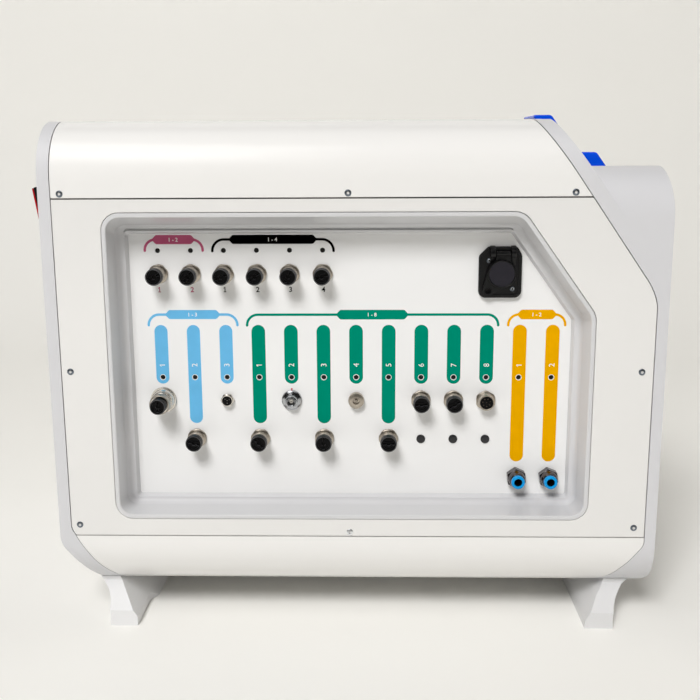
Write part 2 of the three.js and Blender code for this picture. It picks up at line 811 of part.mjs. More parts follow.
// Rocker: symmetric about its pivot, resting with the top out.
const ROCKER_TILT = (12 * Math.PI) / 180;
const rockerHalf = [
  [-6.5, 0],
  [-6.65, 6],
  [-7.06, 12.95],
  [-1, 13.8],
  [4, 7],
];
const rockerProfile = [...rockerHalf, ...rockerHalf.slice(1).reverse().map(([a, b]) => [a, -b])]
  .map(([a, b]) => [
    sx + 1 + a * Math.cos(ROCKER_TILT) - b * Math.sin(ROCKER_TILT),
    SWITCH.z + a * Math.sin(ROCKER_TILT) + b * Math.cos(ROCKER_TILT),
  ])
  .reverse();
place("power_rocker", prismXZ(rockerProfile, SWITCH.y - 5.4, SWITCH.y + 5.4), RED);
place(
  "mains_inlet",
  cut(
    join(
      box(sx - 1.6, sx - S0, INLET.y - INLET.w / 2, INLET.y + INLET.w / 2, INLET.z - INLET.h / 2, INLET.z + INLET.h / 2),
      box(sx - 1, sx + 24, INLET.y - 11.6, INLET.y + 11.6, INLET.z - 15.6, INLET.z + 15.6)
    ),
    box(sx - 5, sx + 18, INLET.y - 8.2, INLET.y + 8.2, INLET.z - 12, INLET.z + 12)
  ),
  BLACK
);
place("power_supply", box(-170, -40, 10, 100, 36.4, 84), STEEL);

root.position.x = CENTRE_X;
export default root;
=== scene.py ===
import math

import bmesh
import bpy
import numpy as np
from mathutils import Matrix, Vector
from mathutils.geometry import tessellate_polygon


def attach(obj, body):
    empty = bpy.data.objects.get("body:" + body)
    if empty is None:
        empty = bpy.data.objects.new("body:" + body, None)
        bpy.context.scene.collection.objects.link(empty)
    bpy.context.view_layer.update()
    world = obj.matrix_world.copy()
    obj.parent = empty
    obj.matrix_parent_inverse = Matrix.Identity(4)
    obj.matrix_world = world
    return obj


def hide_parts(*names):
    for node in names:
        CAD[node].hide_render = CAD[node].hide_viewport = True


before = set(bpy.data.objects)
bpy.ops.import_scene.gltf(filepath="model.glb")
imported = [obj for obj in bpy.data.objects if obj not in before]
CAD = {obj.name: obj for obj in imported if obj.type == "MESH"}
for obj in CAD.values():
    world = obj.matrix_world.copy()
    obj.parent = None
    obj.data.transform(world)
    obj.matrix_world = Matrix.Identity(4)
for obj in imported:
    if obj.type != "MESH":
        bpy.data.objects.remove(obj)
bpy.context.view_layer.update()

# Drawing sizes in millimetres. The drawing's X is moved so the unit is centred on the origin.
OX = 4.2
DEPTH = 300.0
YN = -150.0
X_LEFT, X_RIGHT = -228.4, 228.6
Z_BOTTOM, Z_TOP, Z_FRONT_TOP = 27.0, 388.0, 353.6
R_EDGE, R_FRONT = 42.0, 38.0
SLOPE = 0.706
PLATE_Y, PLATE_T, LEDGE_Y = -120.0, 3.0, -124.5
PITCH, COL0 = 25.025, -149.8
Z_LED_1, Z_ROW_1, Z_LED_2, Z_ROW_2, Z_ROW_3, Z_ROW_4 = 292.15, 274.4, 193.8, 176.0, 145.0, 113.8
BAY_Y = 112.0
SEAM_GAP = 0.45


def col_x(c):
    return COL0 + PITCH * c


def slope_x(z):
    return 144.8 + (387 - z) * SLOPE


# ---------------------------------------------------------------- camera and stage
cam_data = bpy.data.cameras.new("camera")
cam = bpy.data.objects.new("camera", cam_data)
bpy.context.scene.collection.objects.link(cam)
bpy.context.scene.camera = cam
cam_data.sensor_width = 36.0
cam_data.lens = 980.4 / 700 * 36.0
cam_data.clip_start, cam_data.clip_end = 0.05, 30
YAW, PITCH_A, ROLL = math.radians(1.389), math.radians(-11.618), math.radians(0.290)


def _rot(yaw, pitch, roll):
    c, s = math.cos(yaw), math.sin(yaw)
    rz = Matrix(((c, -s, 0), (s, c, 0), (0, 0, 1)))
    c, s = math.cos(pitch), math.sin(pitch)
    rx = Matrix(((1, 0, 0), (0, c, -s), (0, s, c)))
    c, s = math.cos(roll), math.sin(roll)
    ry = Matrix(((c, 0, s), (0, 1, 0), (-s, 0, c)))
    return rz @ rx @ ry


_r = _rot(YAW, PITCH_A, ROLL)
_right, _fwd, _up = _r.col[0], _r.col[1], _r.col[2]
cam.matrix_world = Matrix(
    (
        (_right[0], _up[0], -_fwd[0], 0.01358 + OX / 1000),
        (_right[1], _up[1], -_fwd[1], -0.85853),
        (_right[2], _up[2], -_fwd[2], 0.36723),
        (0, 0, 0, 1),
    )
)

scene = bpy.context.scene
scene.view_settings.view_transform = "Standard"
scene.view_settings.look = "None"
scene.view_settings.exposure = 0.0
scene.view_settings.gamma = 1.0


# ---------------------------------------------------------------- materials
def srgb(r, g, b):
    def f(c):
        c /= 255.0
        return c / 12.92 if c <= 0.04045 else ((c + 0.055) / 1.055) ** 2.4

    return (f(r), f(g), f(b), 1.0)


class Mat:
    """A node material: a principled shader with helpers that hang procedural detail on it."""

    def __init__(self, name, base, rough=0.4, metal=0.0, **inputs):
        self.m = bpy.data.materials.new(name)
        self.m.use_nodes = True
        self.nt = self.m.node_tree
        self.b = self.nt.nodes["Principled BSDF"]
        self.base = base
        self.b.inputs["Base Color"].default_value = base
        self.b.inputs["Roughness"].default_value = rough
        self.b.inputs["Metallic"].default_value = metal
        for k, v in inputs.items():
            self.b.inputs[k.replace("_", " ")].default_value = v
        self.coord = None
        self.height = None

    def node(self, kind, **inputs):
        n = self.nt.nodes.new(kind)
        for k, v in inputs.items():
            n.inputs[k.replace("_", " ")].default_value = v
        return n

    def link(self, a, b):
        self.nt.links.new(a, b)

    def pos(self):
        if self.coord is None:
            self.coord = self.node("ShaderNodeTexCoord")
        return self.coord.outputs["Object"]

    def noise(self, scale, detail=2.0, rough=0.5, distortion=0.0, stretch=None):
        n = self.node("ShaderNodeTexNoise", Scale=scale, Detail=detail, Roughness=rough, Distortion=distortion)
        if stretch:
            mp = self.node("ShaderNodeMapping")
            mp.inputs["Scale"].default_value = stretch
            self.link(self.pos(), mp.inputs["Vector"])
            self.link(mp.outputs["Vector"], n.inputs["Vector"])
        else:
            self.link(self.pos(), n.inputs["Vector"])
        return n.outputs["Fac"]

    def ramp(self, fac, stops):
        r = self.node("ShaderNodeValToRGB")
        els = r.color_ramp.elements
        while len(els) < len(stops):
            els.new(0.5)
        for e, (p, c) in zip(els, stops):
            e.position, e.color = p, c
        self.link(fac, r.inputs["Fac"])
        return r.outputs["Color"]

    def span(self, fac, lo, hi, a=0.3, b=0.7):
        r = self.node("ShaderNodeMapRange")
        r.inputs["From Min"].default_value, r.inputs["From Max"].default_value = a, b
        r.inputs["To Min"].default_value, r.inputs["To Max"].default_value = lo, hi
        self.link(fac, r.inputs["Value"])
        return r.outputs["Result"]

    def tint(self, scale, amount, detail=3.0, stretch=None):
        """Slight colour variation round the base colour."""
        b = self.base
        lo = tuple(max(0.0, c * (1 - amount)) for c in b[:3]) + (1,)
        hi = tuple(min(1.0, c * (1 + amount)) for c in b[:3]) + (1,)
        self.link(
            self.ramp(self.noise(scale, detail, stretch=stretch), [(0.3, lo), (0.7, hi)]),
            self.b.inputs["Base Color"],
        )
        return self

    def gloss(self, scale, lo, hi, detail=4.0, stretch=None):
        """Roughness that drifts between lo and hi."""
        self.link(self.span(self.noise(scale, detail, stretch=stretch), lo, hi), self.b.inputs["Roughness"])
        return self

    def bump(self, fac, distance, strength=1.0):
        bp = self.node("ShaderNodeBump", Strength=strength, Distance=distance)
        self.link(fac, bp.inputs["Height"])
        if self.height is not None:
            self.link(self.height, bp.inputs["Normal"])
        self.height = bp.outputs["Normal"]
        self.link(self.height, self.b.inputs["Normal"])
        return self

    def grain(self, scale, distance, detail=2.0, strength=1.0, stretch=None):
        return self.bump(self.noise(scale, detail, stretch=stretch), distance, strength)

    def rings(self, period, distance, strength=1.0, noise=0.4):
        """Turning marks round the object's own Y axis."""
        w = self.node("ShaderNodeTexWave", Scale=2 * math.pi / (20 * period), Distortion=noise, Detail=2.0)
        w.wave_type = "RINGS"
        w.rings_direction = "Y"
        self.link(self.pos(), w.inputs["Vector"])
        return self.bump(w.outputs["Fac"], distance, strength)


M_WHITE = Mat("cover_white", srgb(235, 234, 232), 0.16)
M_WHITE.tint(5, 0.008).gloss(14, 0.15, 0.18, 1.0).grain(700, 0.000012, 1, 0.5)
# painted shade: a darker copy of the cover white for the upright side panels
M_PANEL_SHADED = Mat("panel_white_shaded", srgb(228, 227, 225), 0.16)
M_PANEL_SHADED.tint(5, 0.008).gloss(14, 0.15, 0.18, 1.0).grain(700, 0.000012, 1, 0.5)
M_GREY = Mat("body_grey", srgb(210, 210, 213), 0.42)
M_GREY.tint(6, 0.012).gloss(20, 0.38, 0.44, 1.0).grain(1100, 0.00002, 2, 0.5)
M_FOOT = Mat("foot_grey", srgb(218, 218, 219), 0.42)
M_FOOT.tint(9, 0.012).gloss(20, 0.36, 0.42, 1.0).grain(1100, 0.00002, 2, 0.5)
M_TRAY = Mat("tray_grey", srgb(209, 209, 211), 0.24)
M_TRAY.tint(8, 0.01).gloss(16, 0.18, 0.22, 1.0).grain(900, 0.000012, 1, 0.5)
# painted light: a lighter copy of the foot grey for the left foot, whose front catches more of the light
M_FOOT_LEFT_LIT = Mat("foot_grey_lit", srgb(229, 229, 230), 0.42)
M_FOOT_LEFT_LIT.tint(9, 0.012).gloss(20, 0.36, 0.42, 1.0).grain(1100, 0.00002, 2, 0.5)
M_PLATE = Mat("plate_paint", srgb(236, 236, 236), 0.42)
M_PLATE.tint(10, 0.008).gloss(30, 0.4, 0.46, 1.0).grain(1500, 0.000012, 2, 0.5)
M_GAP = Mat("seam_dark", srgb(70, 66, 60), 0.7)
M_GAP.tint(60, 0.15).grain(900, 0.00003)


def ink(name, rgb):
    m = Mat(name, srgb(*rgb), 0.5, Specular_IOR_Level=0.0)
    m.tint(120, 0.03).gloss(200, 0.45, 0.55).grain(1800, 0.00001, 2, 0.5)
    return m


M_MAROON = ink("print_maroon", (182, 86, 118))
M_BLACKINK = ink("print_black", (3, 2, 2))
M_SKY = ink("print_sky", (105, 181, 226))
M_GREEN = ink("print_green", (0, 134, 109))
M_AMBER = ink("print_amber", (227, 164, 0))
M_WHITEINK = ink("print_white", (238, 238, 236))
M_RED_DOT = ink("print_red", (205, 60, 70))

M_NICKEL = Mat("satin_nickel", (0.52, 0.465, 0.395, 1), 0.32, 1.0)
M_NICKEL.tint(300, 0.06).gloss(300, 0.29, 0.36).rings(0.00035, 0.000004, 0.5).grain(1600, 0.000003, 2, 0.5)
M_SILVER = Mat("bright_silver", (0.74, 0.70, 0.64, 1), 0.18, 1.0)
M_SILVER.tint(400, 0.04).gloss(300, 0.15, 0.22).rings(0.0003, 0.000004, 0.5)
M_CHROME = Mat("bright_nickel", (0.48, 0.49, 0.51, 1), 0.22, 1.0)
M_CHROME.tint(300, 0.06).gloss(400, 0.18, 0.25).rings(0.0004, 0.000004, 0.5)
M_GUN = Mat("dark_nickel", (0.122, 0.112, 0.116, 1), 0.2, 1.0)
M_GUN.tint(500, 0.15).gloss(400, 0.16, 0.26).grain(2200, 0.000006, 2, 0.6)
M_SCREW = Mat("screw_steel", (0.2, 0.23, 0.27, 1), 0.26, 1.0)
M_SCREW.tint(900, 0.15).gloss(900, 0.28, 0.38).grain(4000, 0.00001, 2, 0.5)
# painted highlight: bright steel for the middle of the screw heads, standing in for the glint in the socket
M_SCREW_GLINT = Mat("screw_painted_glint", (0.82, 0.84, 0.86, 1), 0.25, 1.0)
M_SCREW_GLINT.tint(900, 0.08).gloss(900, 0.28, 0.38).grain(4000, 0.00001, 2, 0.4)
# painted highlight: a lighter grey for the cap rim and slot edges, standing in for the light caught there
M_CAP_RIM_HIGHLIGHT = Mat("cap_rim_painted_highlight", srgb(70, 70, 72), 0.34)
M_CAP_RIM_HIGHLIGHT.tint(300, 0.2).gloss(300, 0.3, 0.4).grain(2200, 0.000012, 2, 0.6)
M_CAP = Mat("cap_black", srgb(6, 6, 7), 0.34, Specular_IOR_Level=0.14)
M_CAP.tint(300, 0.25).gloss(300, 0.3, 0.4).grain(2200, 0.000012, 2, 0.6)
M_PLUG = Mat("plug_grey", srgb(34, 34, 36), 0.4)
M_PLUG.tint(300, 0.2).gloss(300, 0.36, 0.46).grain(2200, 0.000012, 2, 0.6)
M_BLACK = Mat("trim_black", srgb(9, 9, 10), 0.32, Specular_IOR_Level=0.34)
M_BLACK.tint(200, 0.25).gloss(250, 0.29, 0.36).grain(1800, 0.000016, 2, 0.6)
M_DISC = Mat("lid_disc", srgb(31, 29, 37), 0.5, Specular_IOR_Level=0.35)
M_DISC.tint(200, 0.15).gloss(250, 0.46, 0.56).grain(1800, 0.000012, 2, 0.6)
M_INSERT = Mat("insert_black", srgb(11, 10, 10), 0.46, Specular_IOR_Level=0.16)
M_INSERT.tint(500, 0.3).gloss(400, 0.42, 0.54).grain(2400, 0.00001, 2, 0.5)
M_LENS = Mat("lamp_lens", srgb(20, 17, 15), 0.34, Specular_IOR_Level=0.3)
M_LENS.tint(900, 0.2).gloss(900, 0.3, 0.42).grain(2600, 0.000008, 2, 0.4)
M_COLLET = Mat("collet_blue", srgb(0, 150, 222), 0.3, Specular_IOR_Level=0.25)
M_COLLET.tint(300, 0.05).gloss(300, 0.28, 0.34).grain(2000, 0.000008, 2, 0.5)
M_RED = Mat("rocker_red", srgb(176, 6, 22), 0.2)
M_RED.tint(200, 0.08).gloss(300, 0.18, 0.26).grain(1200, 0.00001, 2, 0.4)
M_BLUE = Mat("drive_blue", srgb(0, 80, 232), 0.24)
M_BLUE.tint(40, 0.04).gloss(30, 0.2, 0.26, 1.0).grain(1000, 0.00001, 2, 0.5)
M_PALE = Mat("drive_pale", srgb(214, 214, 232), 0.4)
M_PALE.tint(30, 0.03).gloss(120, 0.34, 0.48).grain(1600, 0.00003, 2, 0.4)
M_BOARD = Mat("lamp_board", srgb(40, 96, 62), 0.4)
M_BOARD.tint(200, 0.15).gloss(300, 0.34, 0.5).grain(1600, 0.00002)
M_SUPPLY = Mat("supply_case", (0.58, 0.6, 0.62, 1), 0.4, 1.0)
M_SUPPLY.tint(30, 0.08).gloss(200, 0.3, 0.5).grain(700, 0.00003, stretch=(1, 12, 1))
M_BRASS = Mat("contact_gold", (0.83, 0.62, 0.30, 1), 0.25, 1.0)
M_BRASS.tint(900, 0.1).gloss(900, 0.28, 0.36)
M_PIN = Mat("contact_silver", (0.62, 0.6, 0.56, 1), 0.3, 1.0)
M_PIN.tint(900, 0.1).gloss(900, 0.28, 0.4)
M_CONTACT = Mat("contact_dull", (0.26, 0.2, 0.15, 1), 0.36, 1.0)
M_CONTACT.tint(900, 0.1).gloss(900, 0.32, 0.42)
M_RUBBER = Mat("foot_pad", srgb(58, 58, 60), 0.7)
M_RUBBER.tint(120, 0.12).gloss(200, 0.62, 0.8).grain(1400, 0.00006, 3)


# ---------------------------------------------------------------- 2-D outlines
def rounded(pts, radii, seg=10):
    """Polygon with rounded corners; the same number of points for any size."""
    out, n = [], len(pts)
    for i in range(n):
        r = radii[i] if isinstance(radii, (list, tuple)) else radii
        p = Vector(pts[i])
        if not r:
            out.append((p.x, p.y))
            continue
        a = (Vector(pts[i - 1]) - p).normalized()
        b = (Vector(pts[(i + 1) % n]) - p).normalized()
        half = math.acos(max(-1, min(1, a.dot(b)))) / 2
        c = p + (a + b).normalized() * (r / math.sin(half))
        s, e = p + a * (r / math.tan(half)) - c, p + b * (r / math.tan(half)) - c
        a0 = math.atan2(s.y, s.x)
        da = math.atan2(e.y, e.x) - a0
        while da > math.pi:
            da -= 2 * math.pi
        while da < -math.pi:
            da += 2 * math.pi
        for k in range(seg + 1):
            t = a0 + da * k / seg
            out.append((c.x + r * math.cos(t), c.y + r * math.sin(t)))
    return out


def inset(pts, d):
    """Moves each edge of a counter-clockwise polygon inward by its own distance."""
    n, lines = len(pts), []
    for i in range(n):
        (x0, y0), (x1, y1) = pts[i], pts[(i + 1) % n]
        l = math.hypot(x1 - x0, y1 - y0)
        nx, ny = -(y1 - y0) / l, (x1 - x0) / l
        k = d[i] if isinstance(d, (list, tuple)) else d
        lines.append((nx, ny, nx * x0 + ny * y0 + k))
    out = []
    for i in range(n):
        a, b, c = lines[i - 1]
        e, f, g = lines[i]
        det = a * f - b * e
        out.append(((c * f - b * g) / det, (a * g - c * e) / det))
    return out


def spline(pts, corner=38, step=2.2):
    """Smooth closed curve through the points. Sharp turns stay corners, long runs stay straight."""
    n = len(pts)
    P = [Vector(p) for p in pts]
    seg = [(P[(i + 1) % n] - P[i]) for i in range(n)]
    L = [s.length for s in seg]
    tan_in, tan_out = [None] * n, [None] * n
    for i in range(n):
        u, v = seg[i - 1].normalized(), seg[i].normalized()
        turn = math.degrees(math.acos(max(-1, min(1, u.dot(v)))))
        if turn > corner:
            tan_in[i], tan_out[i] = u, v
        elif L[i - 1] > 3 * L[i]:
            tan_in[i] = tan_out[i] = u
        elif L[i] > 3 * L[i - 1]:
            tan_in[i] = tan_out[i] = v
        else:
            t = (u * L[i] + v * L[i - 1]).normalized()
            tan_in[i] = tan_out[i] = t
    out = []
    for i in range(n):
        j = (i + 1) % n
        a, b, d = P[i], P[j], seg[i].normalized()
        if tan_out[i].dot(d) > 0.99999 and tan_in[j].dot(d) > 0.99999:
            out.append(tuple(a))
            continue
        k = max(3, int(L[i] / step))
        for q in range(k):
            t = q / k
            h00, h10 = 2 * t**3 - 3 * t**2 + 1, t**3 - 2 * t**2 + t
            h01, h11 = -2 * t**3 + 3 * t**2, t**3 - t**2
            out.append(tuple(a * h00 + tan_out[i] * (L[i] * h10) + b * h01 + tan_in[j] * (L[i] * h11)))
    return out


def rect(x0, x1, z0, z1):
    return [(x0, z0), (x1, z0), (x1, z1), (x0, z1)]


def disc(x, z, r, n=40, a0=0.0):
    return [(x + r * math.cos(a0 + 2 * math.pi * k / n), z + r * math.sin(a0 + 2 * math.pi * k / n)) for k in range(n)]


def stadium(x, z0, z1, w, n=14):
    """Upright slot shape."""
    r = w / 2
    out = []
    for k in range(n + 1):
        t = math.pi + math.pi * k / n
        out.append((x + r * math.cos(t), z0 + r + r * math.sin(t)))
    for k in range(n + 1):
        t = math.pi * k / n
        out.append((x + r * math.cos(t), z1 - r + r * math.sin(t)))
    return out


# ---------------------------------------------------------------- solids
def tris(loops):
    """Triangles over an outline and its holes, as indices into the loops laid end to end."""
    return tessellate_polygon([[Vector((p[0], p[1], 0)) for p in l] for l in loops])


def area(l):
    return sum(l[i - 1][0] * l[i][1] - l[i][0] * l[i - 1][1] for i in range(len(l))) / 2


def prism(loops, t0, t1, lift):
    """Solid between two parallel planes. lift(u, v, t) gives the point."""
    loops = [l if (area(l) > 0) == (i == 0) else l[::-1] for i, l in enumerate(loops)]
    verts = [lift(u, v, t) for t in (t0, t1) for l in loops for u, v in l]
    n = sum(len(l) for l in loops)
    faces = []
    if len(loops) == 1:
        faces.append(tuple(range(n - 1, -1, -1)))
        faces.append(tuple(range(n, 2 * n)))
    else:
        for a, b, c in tris(loops):
            faces.append((a, b, c))
            faces.append((a + n, c + n, b + n))
    o = 0
    for l in loops:
        m = len(l)
        for i in range(m):
            a, b = o + i, o + (i + 1) % m
            faces.append((a, b, b + n, a + n))
        o += m
    return verts, faces


def prism_xz(l, y0, y1, holes=()):
    return prism([l, *holes], y0, y1, lambda u, v, t: (u, t, v))


def prism_yz(l, x0, x1, holes=()):
    return prism([l, *holes], x0, x1, lambda u, v, t: (t, u, v))


def prism_xy(l, z0, z1, holes=()):
    return prism([l, *holes], z0, z1, lambda u, v, t: (u, v, t))


def brick(x0, x1, y0, y1, z0, z1):
    return prism_xy(rect(x0, x1, y0, y1), z0, z1)


def rings(loops, closed=False):
    """Skin over matching loops of 3-D points; closed joins the last to the first, else the ends are capped."""
    n = len(loops[0])
    verts = [p for l in loops for p in l]
    faces = []
    m = len(loops)
    for k in range(m if closed else m - 1):
        a, b = k * n, ((k + 1) % m) * n
        for i in range(n):
            j = (i + 1) % n
            faces.append((a + i, a + j, b + j, b + i))
    if not closed:
        faces.append(tuple(range(n))[::-1])
        faces.append(tuple(range((m - 1) * n, m * n)))
    return verts, faces


def lathe(profile, seg=48, start=0.0):
    """Turned solid about the local Y axis. profile: (radius, stand-off) or functions of the angle; stand-off runs to -Y."""
    verts, faces, rows = [], [], []
    for p in profile:
        if not callable(p) and p[0] == 0:
            rows.append([len(verts)])
            verts.append((0, -p[1], 0))
            continue
        row = []
        for k in range(seg):
            t = start + 2 * math.pi * k / seg
            r, s = p(t) if callable(p) else p
            row.append(len(verts))
            verts.append((r * math.cos(t), -s, r * math.sin(t)))
        rows.append(row)
    for a, b in zip(rows, rows[1:]):
        for k in range(seg):
            j = (k + 1) % seg
            if len(a) == 1 and len(b) == 1:
                continue
            if len(a) == 1:
                faces.append((a[0], b[j], b[k]))
            elif len(b) == 1:
                faces.append((a[k], a[j], b[0]))
            else:
                faces.append((a[k], a[j], b[j], b[k]))
    return verts, faces


def hexr(af, turn, cut=99.0):
    def f(t):
        a = (t - turn) % (math.pi / 3) - math.pi / 6
        return min(af / 2 / math.cos(a), cut)

    return f


def nut(af, rc, s0, s1, turn, slope=0.5, cut=99.0):
    """Profile rows of a chamfered hexagon from s0 to s1; rc is where the chamfer starts, cut trims its corners."""
    h = hexr(af, turn, cut)
    return [
        lambda t: (h(t), s0 + 0.2),
        lambda t: (h(t), max(s0 + 0.3, s1 - max(0.0, h(t) - rc) * slope)),
        (rc, s1),
    ]


def raw(name, data, at=(0, 0, 0)):
    verts, faces = data
    me = bpy.data.meshes.new(name)
    me.from_pydata([((x) * 0.001, y * 0.001, z * 0.001) for x, y, z in verts], [], faces)
    me.validate()
    bm = bmesh.new()
    bm.from_mesh(me)
    bmesh.ops.remove_doubles(bm, verts=bm.verts, dist=1e-7)
    bmesh.ops.recalc_face_normals(bm, faces=bm.faces)
    bm.to_mesh(me)
    bm.free()
    o = bpy.data.objects.new(name, me)
    bpy.context.scene.collection.objects.link(o)
    o.location = at
    return o


def apply(o):
    dg = bpy.context.evaluated_depsgraph_get()
    dg.update()
    me = bpy.data.meshes.new_from_object(o.evaluated_get(dg), depsgraph=dg)
    old = o.data
    o.modifiers.clear()
    o.data = me
    if old.users == 0:
        bpy.data.meshes.remove(old)
    return o


def drop(o):
    me = o.data
    bpy.data.objects.remove(o)
    if me.users == 0:
        bpy.data.meshes.remove(me)


def boole(a, b, op="DIFFERENCE"):
    """a op b, in place; b is used up. Both may be objects or mesh data."""
    if isinstance(b, tuple):
        b = raw("tool", b, a.location)
    m = a.modifiers.new("b", "BOOLEAN")
    m.operation, m.object = op, b
    m.solver = SOLVER
    bpy.context.view_layer.update()
    apply(a)
    drop(b)
    return a


SOLVER = "MANIFOLD"


def soften(o, width, seg=2, angle=30, harden=True):
    m = o.modifiers.new("bev", "BEVEL")
    m.width, m.segments, m.limit_method = width * 0.001, seg, "ANGLE"
    m.angle_limit = math.radians(angle)
    m.miter_outer = "MITER_ARC"
    m.use_clamp_overlap = True
    m.harden_normals = False
    apply(o)
    return o


def clean(o, dist=2e-6):
    bm = bmesh.new()
    bm.from_mesh(o.data)
    bmesh.ops.remove_doubles(bm, verts=bm.verts, dist=dist)
    bmesh.ops.dissolve_degenerate(bm, edges=bm.edges, dist=dist)
    bm.to_mesh(o.data)
    bm.free()
    return o


def finish_mesh(o, mat, smooth=32):
    me = o.data
    if mat is not None:
        kept = [p.material_index for p in me.polygons]
        me.materials.clear()
        for m in mat if isinstance(mat, (list, tuple)) else [mat]:
            me.materials.append(m.m)
        top_index = len(me.materials) - 1
        me.polygons.foreach_set("material_index", [min(k, top_index) for k in kept])
    me.polygons.foreach_set("use_smooth", [True] * len(me.polygons))
    me.set_sharp_from_angle(angle=math.radians(smooth))
    if max(p.area for p in me.polygons) > 1e-4:
        # large flat faces keep their own normal right up to the softened edges
        m = o.modifiers.new("wn", "WEIGHTED_NORMAL")
        m.mode, m.weight, m.keep_sharp = "FACE_AREA", 95, True
        apply(o)
    return o


def piece(name, data, mat, body="base", stands=(), at=None, smooth=32, shift=True):
    """A finished visible piece. data is mesh data in drawing millimetres, or an object made of it."""
    if isinstance(data, bpy.types.Object):
        o = data
        o.name = name
    else:
        o = raw(name, data)
    if at is not None:
        o.location = ((at[0] + OX) * 0.001, at[1] * 0.001, at[2] * 0.001)
    else:
        o.location = (OX * 0.001, 0, 0)
    finish_mesh(o, mat, smooth)
    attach(o, body)
    if stands:
        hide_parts(*([stands] if isinstance(stands, str) else stands))
    return o


def merge(*objs):
    """Joins separate closed solids into one object without cutting them."""
    base = objs[0]
    bm = bmesh.new()
    mats = []
    for o in objs:
        start = len(bm.faces)
        bm.from_mesh(o.data)
        bm.faces.ensure_lookup_table()
        local = [m for m in o.data.materials]
        for m in local:
            if m not in mats:
                mats.append(m)
        for f in bm.faces[start:]:
            if local:
                f.material_index = mats.index(local[min(f.material_index, len(local) - 1)])
    base.data.materials.clear()
    for m in mats:
        base.data.materials.append(m)
    bm.to_mesh(base.data)
    bm.free()
    for o in objs[1:]:
        drop(o)
    return base


# ---------------------------------------------------------------- body outlines
def end_profile(d, z_top, r_top, seg=26):
    return rounded(
        [(YN + d, Z_BOTTOM + d), (-YN - d, Z_BOTTOM + d), (-YN - d, z_top - d), (YN + d, z_top - d)],
        [R_EDGE - d, R_EDGE - d, r_top - d, r_top - d],
        seg,
    )


side_main = rounded(
    [
        (-198.2, Z_BOTTOM),
        (150, Z_BOTTOM),
        (150, 300),
        (slope_x(316), 300),
        (slope_x(316), 316),
        (slope_x(Z_TOP + 2), Z_TOP + 2),
        (X_LEFT, Z_TOP + 2),
        (X_LEFT, 68.8),
    ],
    [12, 0, 0, 0, 0, 0, 0, 20],
    10,
)
side_front = [(100, Z_BOTTOM)]
for k in range(13):
    t = -math.pi / 2 + math.pi / 2 * k / 12
    side_front.append((X_RIGHT - 16 + 16 * math.cos(t), Z_BOTTOM + 16 + 16 * math.sin(t)))
for k in range(11):
    z = 319 + (Z_FRONT_TOP + 2 - 319) * k / 10
    side_front.append((X_RIGHT - 0.0025 * (z - 319) ** 2, z))
side_front += [(slope_x(Z_FRONT_TOP + 2) - 12, Z_FRONT_TOP + 2), (slope_x(316) - 12, 300), (100, 300)]


def seam_x(z):
    return 132.9 + (387 - z) * 0.712


cover_outline = spline(
    [
        (-186, 29.5),
        (-176, Z_BOTTOM - 4),
        (176, Z_BOTTOM - 4),
        (186, 30.5),
        (195, 36.3),
        (199.8, 41.6),
        (205.8, 49.3),
        (213.8, 60),
        (220.4, 72),
        (220.4, 252),
        (219, 259.4),
        (216.2, 266.4),
        (212.6, 272.6),
        (seam_x(Z_TOP + 4), Z_TOP + 4),
        (-219.6, Z_TOP + 4),
        (-219.6, 82.5),
        (-216.3, 75),
        (-209.4, 63.5),
        (-203.4, 53.8),
        (-197, 45.2),
        (-190.5, 37.6),
    ]
)
lip = [(-183.6, 89.4), (176.2, 89.4), (176.2, 246.9), (122, 322.2), (-183.6, 322.2)]
LIP_R = [13, 13, 16, 14, 13]


def full_body(d=0.0):
    a = raw("body", prism_yz(end_profile(d, Z_TOP, R_EDGE), X_LEFT - 5, X_RIGHT + 5))
    boole(a, prism_xz(side_main, YN - 1, -YN + 1), "INTERSECT")
    b = raw("front", prism_yz(end_profile(d, Z_FRONT_TOP, R_FRONT), X_LEFT - 5, X_RIGHT + 5))
    boole(b, prism_xz(side_front, YN - 1, -YN + 1), "INTERSECT")
    return boole(a, b, "UNION")


def bay_x(z):
    return slope_x(z) - 6


# ---------------------------------------------------------------- chassis
chassis = full_body()
seat = raw("seat", prism_xz(cover_outline, YN - 2, -YN + 2))
boole(seat, prism_yz(end_profile(3.6, Z_TOP, R_EDGE), X_LEFT - 9, X_RIGHT + 9))
boole(chassis, seat)
boole(
    chassis,
    prism_xz(
        [(bay_x(268), 268), (X_RIGHT + 6, 268), (X_RIGHT + 6, Z_TOP + 20), (bay_x(Z_TOP + 20), Z_TOP + 20)],
        -BAY_Y,
        BAY_Y,
    ),
)
cavity = raw(
    "cavity",
    prism_xz(
        [
            (-176, 36),
            (205, 36),
            (X_RIGHT - 8, 66),
            (X_RIGHT - 8, 250),
            (slope_x(Z_TOP - 8) - 13, Z_TOP - 8),
            (X_LEFT + 6, Z_TOP - 8),
            (X_LEFT + 6, 92),
        ],
        YN,
        -YN,
    ),
)
boole(cavity, prism_yz(end_profile(6.8, Z_TOP, R_EDGE), X_LEFT, X_RIGHT), "INTERSECT")
boole(chassis, cavity)
boole(chassis, prism_xz(rounded(inset(lip, 0.45), [10.5, 10.5, 14.5, 12.5, 10.5], 8), YN - 5, YN + 20))
boole(chassis, prism_xz(rounded(rect(-170, 150, 100, 300), 14, 6), -YN - 20, -YN + 5))
SW_Y, SW_Z, SW_W, SW_H = -131.0, 328.0, 17.0, 35.0
IN_Y, IN_Z, IN_W, IN_H = -118.0, 268.0, 28.0, 38.0
boole(chassis, brick(X_LEFT - 5, X_LEFT + 12, SW_Y - 7, SW_Y + 7, SW_Z - 15.9, SW_Z + 15.9))
boole(chassis, brick(X_LEFT - 5, X_LEFT + 12, IN_Y - 12, IN_Y + 12, IN_Z - 16, IN_Z + 16))
clean(chassis)
soften(chassis, 0.9, 3)
piece("chassis_shell", chassis, M_GREY, stands="chassis")

# ---------------------------------------------------------------- covers
plan = inset(cover_outline, SEAM_GAP)


